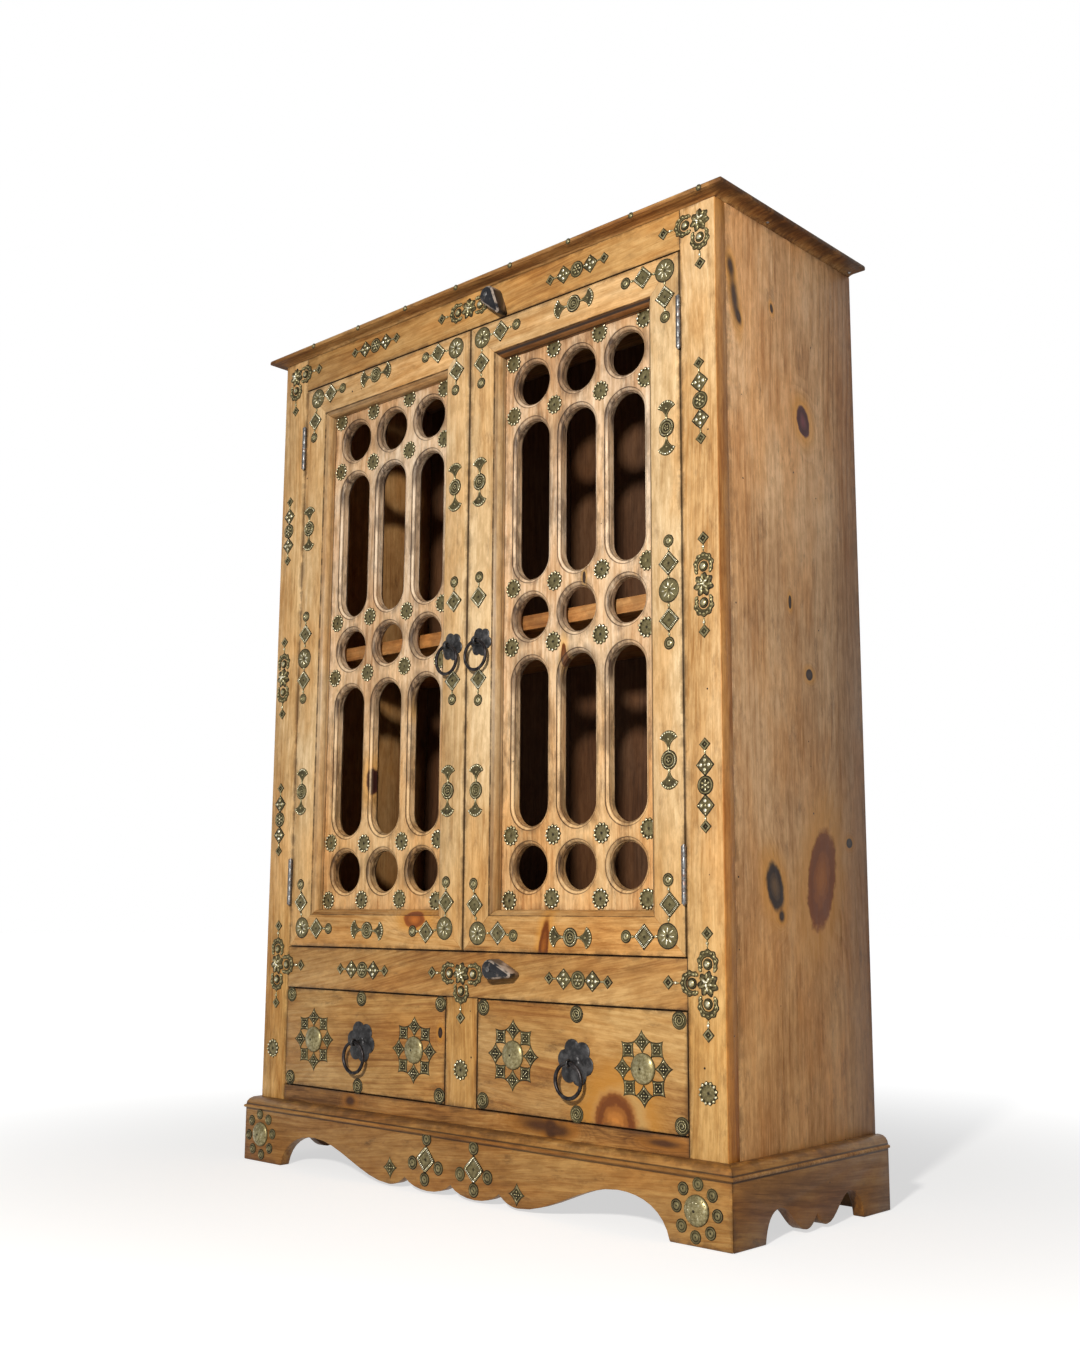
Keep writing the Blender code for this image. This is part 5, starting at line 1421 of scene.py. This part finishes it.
def stamping(name, outline, *profile, middle=(0.0, 0.0)):
    """A thin sheet with a flat flange, pressed up from its middle."""
    grown = 1.0 + SKIRT / max(math.hypot(x - middle[0], z - middle[1]) for x, z in outline)
    wider = [(middle[0] + grown * (x - middle[0]), middle[1] + grown * (z - middle[1])) for x, z in outline]
    sheet = cut_sheet(name, wider, FLANGE)
    press(middle, FLANGE, *((share / grown, height) for share, height in profile))
    return sheet_done(sheet)


def ornament(name, pieces, top=0.0030):
    """Joins a sheet and its bumps into a pattern, and marks how high each point stands for the tarnish."""
    pattern = joined(name, pieces)
    marks = pattern.data.attributes.new("relief", "FLOAT", "POINT")
    marks.data.foreach_set("value", [min(1.0, -point.co.y / top) for point in pattern.data.vertices])
    pattern.data.materials.clear()
    pattern.data.materials.append(aged_brass)
    return pattern


def set_out(pattern, name, body, ground, places):
    """Copies of an ornament nailed to a flat ground at (x, z, turn), in mm and degrees, as one piece."""
    copies = []
    for place in places:
        spot = Matrix.Translation((place[0] / 1000, ground, place[1] / 1000))
        angle = math.radians(place[2]) if len(place) > 2 else 0.0
        copies.append(copy_at(pattern, spot @ Matrix.Rotation(-angle, 4, "Y")))
    piece = joined(name, copies)
    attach(piece, body)
    return piece


FLANGE = 0.0004
SKIRT = 0.0009
disc = stamping(
    "daisy", circle_outline(0.0172, 48, 12, 0.0014),
    (0.79, 0.0004), (0.75, 0.0011), (0.68, 0.0014), (0.40, 0.0016), (0.20, 0.0014), (0.09, 0.0003),
)
petals = beads(ring_places(12, 0.0157), (0.0031, 0.0030, 0.0031), 0.0003)
daisy = ornament("daisy", [disc] + petals, 0.0035)
DAISY_COLUMNS = (98, 203, 317, 422)
DAISY_ROWS = (1559, 1449, 1111, 995, 645, 529)
NAILED_GAP = 0.0001
panel_ground = panel_front - NAILED_GAP
for word, side in (("left", -1), ("right", 1)):
    spots = []
    for row, z in enumerate(DAISY_ROWS):
        for column, x in enumerate(DAISY_COLUMNS):
            off = ((row * 7 + column * 5) % 5 - 2, (row * 3 + column * 4) % 5 - 2)
            spots.append((side * x + off[0], z + off[1], 7.0 * (row + column)))
    set_out(daisy, f"daisies_{word}", f"door_{word}", panel_ground, spots)
face_ground = face_y - NAILED_GAP
set_out(daisy, "daisies_frame", "carcase", face_ground, [(-562, 225, 5), (0, 222, 0), (558, 227, 12)])


# Each door corner has a spoked round stud, with a square stud and a small round one along either member.
# All are stamped from thin brass and nailed by eye; those that a ring or a turn-button meets are beaten flat.
disc = stamping(
    "spoked_stud", circle_outline(0.0207, 48),
    (0.97, 0.0004), (0.93, 0.0011), (0.70, 0.0014), (0.20, 0.0015), (0.12, 0.0006),
)
spokes = beads(ring_places(8, 0.0100, 12.0, True), (0.0056, 0.0019, 0.0017), 0.0012)
spoked_stud = ornament("spoked_stud", [disc] + spokes)

square = stamping(
    "square_stud", diamond_outline(0.0212),
    (0.96, 0.0004), (0.70, 0.0005), (0.66, 0.0003), (0.62, 0.0012), (0.20, 0.0013), (0.09, 0.0004),
)
ROPE_REACH = 0.0178
ROPE_BEADS = 8
rope = []
for corner in range(4):
    start, end = (Vector(ring_places(4, ROPE_REACH)[turn % 4]) for turn in (corner, corner + 1))
    for step in range(ROPE_BEADS):
        spot = start.lerp(end, (step + 0.5) / ROPE_BEADS)
        rope.append((spot.x, spot.y, 90.0 * corner + 45.0))
square_stud = ornament("square_stud", [square] + beads(rope, (0.0027, 0.0026, 0.0013), 0.0004))

disc = stamping(
    "small_stud", circle_outline(0.0102, 32),
    (0.92, 0.0004), (0.86, 0.0013), (0.74, 0.0015), (0.66, 0.0005),
    (0.58, 0.0005), (0.48, 0.0016), (0.24, 0.0022), (0.10, 0.0008),
)
small_stud = ornament("small_stud", [disc])

bar = beads([(0.0, 0.0)], (0.0058, 0.0018, 0.0016), 0.0) + beads([(0.0, 0.0)], (0.0028, 0.0026, 0.0028), 0.0)
link_bar = ornament("link", bar)

DOOR_SPOKED = {
    "right": [(33, 1621), (486, 1620), (39, 468), (480, 469), (489, 1045)],
    "left": [(-480, 1621), (-42, 1620), (-478, 473), (-49, 476), (-499, 1042)],
}
DOOR_SQUARES = {
    "right": [
        (83, 1621), (31, 1570), (437, 1622), (486, 1571), (91, 469), (31, 520), (431, 467), (485, 520),
        (31, 1100), (33, 942), (489, 1092), (489, 994),
    ],
    "left": [
        (-436, 1623), (-487, 1571), (-94, 1623), (-39, 1571), (-431, 472), (-484, 525),
        (-100, 469), (-46, 525), (-37, 1101), (-38, 946), (-498, 1095), (-499, 995),
    ],
}
DOOR_SMALLS = {
    "right": [
        (125, 1623), (31, 1528), (397, 1623), (486, 1534), (130, 465), (27, 558), (392, 467), (482, 560),
        (32, 1139), (33, 901), (489, 1131), (489, 954),
    ],
    "left": [
        (-396, 1625), (-490, 1534), (-132, 1624), (-42, 1532), (-392, 472), (-487, 562),
        (-138, 470), (-47, 562), (-37, 1140), (-38, 909), (-498, 1134), (-499, 955),
    ],
}
FLATTENED = ((91, 469), (33, 942), (-38, 946))
FLAT_SHARE = 0.35
LINK_REACH = 25.0
LONGEST_LINK = 65.0
flat_stud = copy_at(square_stud, Matrix.Diagonal((1.0, FLAT_SHARE, 1.0, 1.0)))
for word in ("left", "right"):
    body = f"door_{word}"
    spoked, squares, smalls = DOOR_SPOKED[word], DOOR_SQUARES[word], DOOR_SMALLS[word]
    turned = [(x, z, 9 * n) for n, (x, z) in enumerate(spoked)]
    set_out(spoked_stud, f"spoked_studs_{word}", body, face_ground, turned)
    turned = [(x, z, n % 5 - 2) for n, (x, z) in enumerate(squares) if (x, z) not in FLATTENED]
    set_out(square_stud, f"square_studs_{word}", body, face_ground, turned)
    beaten = [spot for spot in squares if spot in FLATTENED]
    set_out(flat_stud, f"flat_studs_{word}", body, face_ground, beaten)
    set_out(small_stud, f"small_studs_{word}", body, face_ground, smalls)
    joints = []
    for first, second in zip(squares, smalls):
        nearest = min(spoked, key=lambda spot: (Vector(spot) - Vector(first)).length)
        for other in (second, nearest):
            along = Vector(other) - Vector(first)
            if along.length < LONGEST_LINK:
                spot = Vector(first) + along * (LINK_REACH / along.length)
                joints.append((spot.x, spot.y, math.degrees(math.atan2(along.y, along.x))))
    set_out(link_bar, f"stud_links_{word}", body, face_ground, joints)


# Between the corners each door member carries a round stud held between two scalloped fans.
# The fans are cut to a narrow neck that is soldered to the stud.
disc = stamping(
    "fan_stud", circle_outline(0.0158, 40),
    (0.95, 0.0004), (0.91, 0.0015), (0.79, 0.0017), (0.73, 0.0004),
    (0.65, 0.0004), (0.60, 0.0015), (0.48, 0.0017), (0.42, 0.0005),
)
flower = beads(ring_places(5, 0.0031, 90.0, True), (0.0021, 0.0014, 0.0014), 0.0006)
rim = beads(ring_places(26, 0.0134), (0.0011, 0.0010, 0.0011), 0.0016)
fan_pieces = [disc] + flower + rim
FAN_EYE = 0.0345
FAN_NECK = 0.0185
FAN_SIDE = [(0.0145, 0.0023), (0.0215, 0.0024), (0.0272, 0.0050), (0.0322, 0.0098), (0.0368, 0.0190)]
FAN_EDGE = [(0.0425, 0.0158), (0.0464, 0.0108), (0.0488, 0.0056), (0.0497, 0.0)]
FAN_BEADS = [(0.0384, 0.0158), (0.0421, 0.0120), (0.0449, 0.0074), (0.0463, 0.0025)]
for side in (1, -1):
    outline = FAN_SIDE + FAN_EDGE
    outline = outline + [(x, -z) for x, z in reversed(outline[:-1])]
    fan = cut_sheet("fan", [(side * x, side * z) for x, z in outline], FLANGE)
    emboss((0.0008, 0.0), (0.0004, 0.0010), (0.0008, 0.0002), (0.0005, -0.0008))
    fan_pieces.append(sheet_done(fan))
    scallops = FAN_BEADS + [(x, -z) for x, z in FAN_BEADS]
    fan_pieces += beads([(side * x, z) for x, z in scallops], (0.0023, 0.0017, 0.0021), 0.0010)
    fan_pieces += beads([(side * FAN_EYE, 0.0)], (0.0022, 0.0016, 0.0022), 0.0006)
    fan_pieces += beads([(side * FAN_NECK, 0.0)], (0.0052, 0.0019, 0.0019), 0.0004)
fan_pair = ornament("fan_pair", fan_pieces)
DOOR_FANS = {
    "right": [(272, 1622, 2), (267, 464, -1), (30, 1328, 90), (30, 731, 89), (487, 1332, 90), (486, 757, 91)],
    "left": [
        (-287, 1627, 1), (-272, 470, -2), (-497, 1329, 90), (-494, 756, 88), (-39, 1331, 91), (-46, 734, 90),
    ],
}
for word in ("left", "right"):
    set_out(fan_pair, f"fan_pairs_{word}", f"door_{word}", face_ground, DOOR_FANS[word])


# Chains of five on the face frame: a round stud, two berried lozenges and two small hollow squares.
# They lie along the rails and stand up the stiles, each link pressed as part of the same strip.
LOZENGE_REACH = 0.0330
TIP_REACH = 0.0668
TIP_LINK = 0.0545
HOLLOW = ((0.93, 0.0004), (0.86, 0.0016), (0.60, 0.0019), (0.50, 0.0003), (0.40, 0.0003))
PLAIN = ((0.92, 0.0004), (0.86, 0.0009), (0.5, 0.0009))
disc = stamping(
    "chain_stud", circle_outline(0.0150, 40),
    (0.95, 0.0004), (0.90, 0.0015), (0.80, 0.0017), (0.74, 0.0005), (0.20, 0.0007),
)
chain_pieces = [disc] + beads(ring_places(6, 0.0068, 0.0, True), (0.0036, 0.0017, 0.0022), 0.0006)
chain_pieces += beads([(0.0, 0.0)], (0.0028, 0.0018, 0.0028), 0.0008)
LOZENGE = [(0.0, 0.0176), (0.0086, 0.0100), (0.0182, 0.0), (0.0086, -0.0100)]
for side in (1, -1):
    middle = side * LOZENGE_REACH
    points = [(middle + x, z) for x, z in LOZENGE] + [(middle - x, -z) for x, z in LOZENGE]
    chain_pieces.append(stamping("lozenge", points, *PLAIN, middle=(middle, 0.0)))
    berries = [(middle + x, z) for x, z in ring_places(4, 0.0078)]
    chain_pieces += beads(berries, (0.0038, 0.0027, 0.0038), 0.0006)
    chain_pieces += beads([(middle, 0.0)], (0.0026, 0.0018, 0.0026), 0.0006)
    pips = [(middle + x, z) for x, z in ring_places(4, 0.0138)]
    chain_pieces += beads(pips, (0.0019, 0.0018, 0.0019), 0.0006)
    tip = side * TIP_REACH
    chain_pieces.append(stamping("hollow_square", diamond_outline(0.0106, tip), *HOLLOW, middle=(tip, 0.0)))
    chain_pieces += beads([(tip, 0.0)], (0.0016, 0.0012, 0.0016), 0.0003)
    chain_pieces += beads([(side * TIP_LINK, 0.0)], (0.0050, 0.0020, 0.0018), 0.0004)
chain = ornament("berry_chain", chain_pieces)
FRAME_CHAINS = [
    (280, 1687, 1), (-290, 1693, -1), (559, 1364, 91), (-569, 1336, 89), (560, 711, 90), (-566, 700, 90),
    (-283, 393, 0), (285, 392, -1),
]
set_out(chain, "berry_chains", "carcase", face_ground, FRAME_CHAINS)


# Scroll pieces cover the corners and crossings of the face frame: a crumpled leaf boss with lumpy crescents.
# Each crescent opens towards the leaf, holds a round boss, and ends in a small hollow square on a link.
leaf = stamping(
    "leaf", circle_outline(0.0178, 56, 7, 0.0028),
    (0.94, 0.0006), (0.86, 0.0018), (0.66, 0.0022), (0.52, 0.0012), (0.42, 0.0030),
)
leaf_pieces = [leaf] + beads(ring_places(7, 0.0126, 0.0, True), (0.0064, 0.0030, 0.0030), 0.0014)
leaf_pieces += beads(ring_places(5, 0.0066, 30.0, True), (0.0060, 0.0038, 0.0026), 0.0028)
leaf_pieces += beads([(0.0020, 0.0012, 35.0), (-0.0026, -0.0018, 120.0)], (0.0046, 0.0036, 0.0022), 0.0044)
leaf_boss = ornament("leaf_boss", leaf_pieces, 0.0074)

CRESCENT_REACH = 0.0205
CRESCENT_WAVE = 0.0013
CRESCENT_BORE = 0.0112
BORE_SET = -0.0030
LUMP_REACH = 0.0158
outer = []
for step in range(37):
    turn = math.radians(-132.0 + 264.0 * step / 36)
    reach = CRESCENT_REACH + CRESCENT_WAVE * math.cos(9 * turn)
    outer.append((reach * math.cos(turn), reach * math.sin(turn)))
inner = []
for step in range(21):
    turn = math.radians(118.0 - 236.0 * step / 20)
    inner.append((BORE_SET + CRESCENT_BORE * math.cos(turn), CRESCENT_BORE * math.sin(turn)))
crescent = cut_sheet("crescent", outer + inner, FLANGE)
emboss((0.0008, 0.0002), (0.0006, 0.0014), (0.0009, 0.0004), (0.0006, -0.0010))
crescent_pieces = [sheet_done(crescent)]
lumps = []
for angle in range(-112, 113, 28):
    turn = math.radians(angle)
    lumps.append((LUMP_REACH * math.cos(turn), LUMP_REACH * math.sin(turn), angle + 90.0))
crescent_pieces += beads(lumps, (0.0037, 0.0024, 0.0024), 0.0012)
knob = stamping(
    "knob", circle_outline(0.0084, 28),
    (0.94, 0.0006), (0.90, 0.0018), (0.78, 0.0018), (0.70, 0.0007),
    (0.64, 0.0030), (0.42, 0.0044), (0.2, 0.0049),
)
knob.data.transform(Matrix.Translation((BORE_SET, 0.0, 0.0)))
crescent_pieces.append(knob)
horns = [(-0.0118, 0.0146, 40.0), (-0.0118, -0.0146, -40.0)]
crescent_pieces += beads(horns, (0.0046, 0.0028, 0.0030), 0.0010)
crescent = ornament("crescent", crescent_pieces, 0.0060)

pendant_pieces = [stamping("pendant", diamond_outline(0.0110), *HOLLOW)]
pendant_pieces += beads([(0.0, 0.0)], (0.0017, 0.0012, 0.0017), 0.0003)
pendant_pieces += beads([(-0.0160, 0.0)], (0.0078, 0.0018, 0.0016), 0.0004)
pendant_pieces += beads([(-0.0150, 0.0)], (0.0029, 0.0026, 0.0029), 0.0006)
pendant = ornament("pendant", pendant_pieces)

SCROLL_REACH = 34.0
PENDANT_REACH = 79.0
scrolls = [
    (563, 1689, (180, 270), ()),
    (-559, 1690, (0, 270), ()),
    (-6, 1693, (0, 180), (0,)),
    (562, 1044, (90, 270), ()),
    (-570, 1007, (90, 270), ()),
    (560, 395, (90, 180, 270), ()),
    (-557, 397, (90, 0, 270), ()),
    (-2, 394, (0, 180, 270), (0,)),
]
leaves = []
crescents = []
pendants = []
for number, (x, z, arms, hidden) in enumerate(scrolls):
    leaves.append((x, z, 50.0 * number))
    for arm in arms:
        aim = (math.cos(math.radians(arm)), math.sin(math.radians(arm)))
        crescents.append((x + SCROLL_REACH * aim[0], z + SCROLL_REACH * aim[1], arm))
        if arm not in hidden:
            pendants.append((x + PENDANT_REACH * aim[0], z + PENDANT_REACH * aim[1], arm))
set_out(leaf_boss, "leaf_bosses", "carcase", face_ground, leaves)
set_out(crescent, "crescents", "carcase", face_ground, crescents)
set_out(pendant, "pendants", "carcase", face_ground, pendants)


# Each drawer has a pair of big rosettes: a smooth raised dome in a ring of eight four-pointed stars.
# Small coiled studs mark the corners and the middle of its long edges.
DOME_RADIUS = 0.0255
DOME_RISE = 0.36
DOME_DARK = 0.14
DOME_BRIGHT = 0.56
DOME_GAIN = 110.0
PETAL_REACH = 0.0430
bpy.ops.object.select_all(action="DESELECT")
bpy.ops.mesh.primitive_uv_sphere_add(
    segments=40, ring_count=24, radius=DOME_RADIUS, rotation=(math.pi / 2, 0.0, 0.0),
)
dome = settled("dome_pattern")
bpy.ops.object.mode_set(mode="EDIT")
bpy.ops.mesh.select_all(action="SELECT")
bpy.ops.mesh.bisect(plane_co=(0.0, 0.0, 0.0), plane_no=(0.0, 1.0, 0.0), use_fill=True, clear_outer=True)
bpy.ops.mesh.select_all(action="SELECT")
bpy.ops.transform.resize(value=(1.0, DOME_RISE, 1.0), center_override=(0.0, 0.0, 0.0))
bpy.ops.object.mode_set(mode="OBJECT")
bpy.ops.object.shade_smooth_by_angle(angle=math.radians(40.0))
dome_marks = dome.data.attributes.new("relief", "FLOAT", "POINT")
heights = [DOME_DARK - DOME_GAIN * point.co.y for point in dome.data.vertices]
dome_marks.data.foreach_set("value", [min(DOME_BRIGHT, height) for height in heights])
dome.data.materials.append(aged_brass)

STAR_PULL = 2.6
STAR_REACH = 0.0188
star_outline = []
for x, z in ring_places(40, 1.0):
    pulled = (math.copysign(abs(x) ** STAR_PULL, x), math.copysign(abs(z) ** STAR_PULL, z))
    star_outline.append((STAR_REACH * pulled[0], STAR_REACH * pulled[1]))
star = stamping(
    "star", star_outline, (0.92, 0.0004), (0.84, 0.0011), (0.70, 0.0012), (0.60, 0.0003), (0.30, 0.0003),
)
studs = [(0.0, 0.0)] + ring_places(4, 0.0048) + ring_places(4, 0.0112)
star = ornament("star", [star] + beads(studs, (0.0017, 0.0021, 0.0017), 0.0003))
nail = ornament("rosette_nail", beads([(0.0, 0.0)], (0.0024, 0.0008, 0.0024), 0.0088), 0.08)


def in_a_ring(pattern, reach, shape=Matrix.Identity(4)):
    """Eight copies of a pattern round a middle."""
    copies = []
    for number in range(8):
        spot = Matrix.Rotation(math.pi / 4 * number, 4, "Y") @ Matrix.Translation((reach, 0.0, 0.0))
        copies.append(copy_at(pattern, spot @ shape))
    return copies


rosette = joined("star_rosette", in_a_ring(star, PETAL_REACH) + [copy_at(dome, Matrix.Identity(4)), nail])

COIL_BEADS = 60
COIL_TURNS = 2.2
COIL_START = 0.0022
COIL_GROWTH = 0.0088
coil = []
for step in range(COIL_BEADS):
    share = step / (COIL_BEADS - 1)
    turn = 2 * math.pi * COIL_TURNS * share
    reach = COIL_START + COIL_GROWTH * share
    coil.append((reach * math.cos(turn), reach * math.sin(turn), math.degrees(turn) + 90.0))
disc = stamping("coiled_stud", circle_outline(0.0138, 32), (0.95, 0.0004), (0.90, 0.0011), (0.82, 0.0005))
coiled_stud = ornament("coiled_stud", [disc] + beads(coil, (0.0017, 0.0013, 0.0011), 0.0006))

DRAWER_ROSETTES = {"right": [(132, 257), (427, 255, 3)], "left": [(-428, 251, 2), (-127, 249)]}
DRAWER_COILS = {
    "right": [(57, 336), (282, 335, 40), (502, 336, 90), (58, 173, 150), (283, 170, 200), (506, 172, 260)],
    "left": [
        (-504, 337), (-283, 337, 50), (-56, 337, 100), (-501, 171, 170), (-288, 170, 220), (-56, 171, 290),
    ],
}
for word in ("left", "right"):
    set_out(rosette, f"star_rosettes_{word}", f"drawer_{word}", face_ground, DRAWER_ROSETTES[word])
    set_out(coiled_stud, f"coiled_studs_{word}", f"drawer_{word}", face_ground, DRAWER_COILS[word])


# The plinth has a dome in a ring of eight studs at each front corner, and two crosses in the middle.
# A star stands beyond each cross. All are heavier stampings, dull from being so near the floor.
CORNER_REACH = 0.0395
CORNER_BUTTON = (0.84, 0.9, 0.84, 1.0)
CORNER_DOME = (0.94, 1.0, 0.94, 1.0)
CROSS_SQUARE = (1.16, 1.0, 1.16, 1.0)
CROSS_ARMS = ((0.0, 0.0365), (0.0345, -0.0100), (-0.0345, -0.0110), (0.0, -0.0350))
plinth_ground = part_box("plinth_front")[0].y - NAILED_GAP
disc = stamping(
    "button", circle_outline(0.0116, 32),
    (0.95, 0.0004), (0.90, 0.0015), (0.78, 0.0017), (0.70, 0.0006),
    (0.62, 0.0006), (0.48, 0.0017), (0.22, 0.0020), (0.10, 0.0004),
)
button = ornament("button", [disc], 0.0040)
plinth_dome = copy_at(dome, Matrix.Diagonal(CORNER_DOME))
dots = beads(ring_places(22, 0.0205), (0.0012, 0.0010, 0.0012), 0.0046)
dots += beads(ring_places(14, 0.0125), (0.0012, 0.0010, 0.0012), 0.0074)
dots = ornament("dome_dots", dots, 0.0110)
dome_nail = ornament("dome_nail", beads([(0.0, 0.0)], (0.0026, 0.0008, 0.0026), 0.0090), 0.08)
around = in_a_ring(button, CORNER_REACH, Matrix.Diagonal(CORNER_BUTTON))
corner_rosette = joined("corner_rosette", around + [plinth_dome, dots, dome_nail])
set_out(corner_rosette, "corner_rosettes", "carcase", plinth_ground, [(550, 53.5, -4), (-564, 54, 6)])

cross_pieces = [copy_at(square_stud, Matrix.Diagonal(CROSS_SQUARE))]
for x, z in CROSS_ARMS:
    cross_pieces.append(copy_at(button, Matrix.Translation((x, 0.0, z))))
plinth_cross = joined("plinth_cross", cross_pieces)
set_out(plinth_cross, "plinth_crosses", "carcase", plinth_ground, [(60, 57, 1), (-65, 60, -3)])
set_out(star, "plinth_stars", "carcase", plinth_ground, [(166, 28, 0), (-162, 35, 4)])


# Small round studs are nailed along the cornice's front edge, a hand apart.
# They are the same stamping as the doors' small studs, cut down and hammered flatter.
EDGE_STUDS = 8
EDGE_PITCH = 150
EDGE_END = 580
EDGE_DROP = 0.0066
EDGE_SHAPE = (0.52, 0.7, 0.52, 1.0)
cornice_low, cornice_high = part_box("top_board")
edge_stud = copy_at(small_stud, Matrix.Diagonal(EDGE_SHAPE))
edge_height = 1000 * (cornice_high.z - EDGE_DROP)
edge_places = [(EDGE_END - EDGE_PITCH * number, edge_height) for number in range(EDGE_STUDS)]
set_out(edge_stud, "cornice_studs", "carcase", cornice_low.y - NAILED_GAP, edge_places)
for pattern in (
    bead, daisy, spoked_stud, square_stud, flat_stud, small_stud, link_bar, fan_pair, chain, leaf_boss,
    crescent, pendant, star, dome, rosette, coiled_stud, button, corner_rosette, plinth_cross, edge_stud,
):
    bpy.data.objects.remove(pattern)
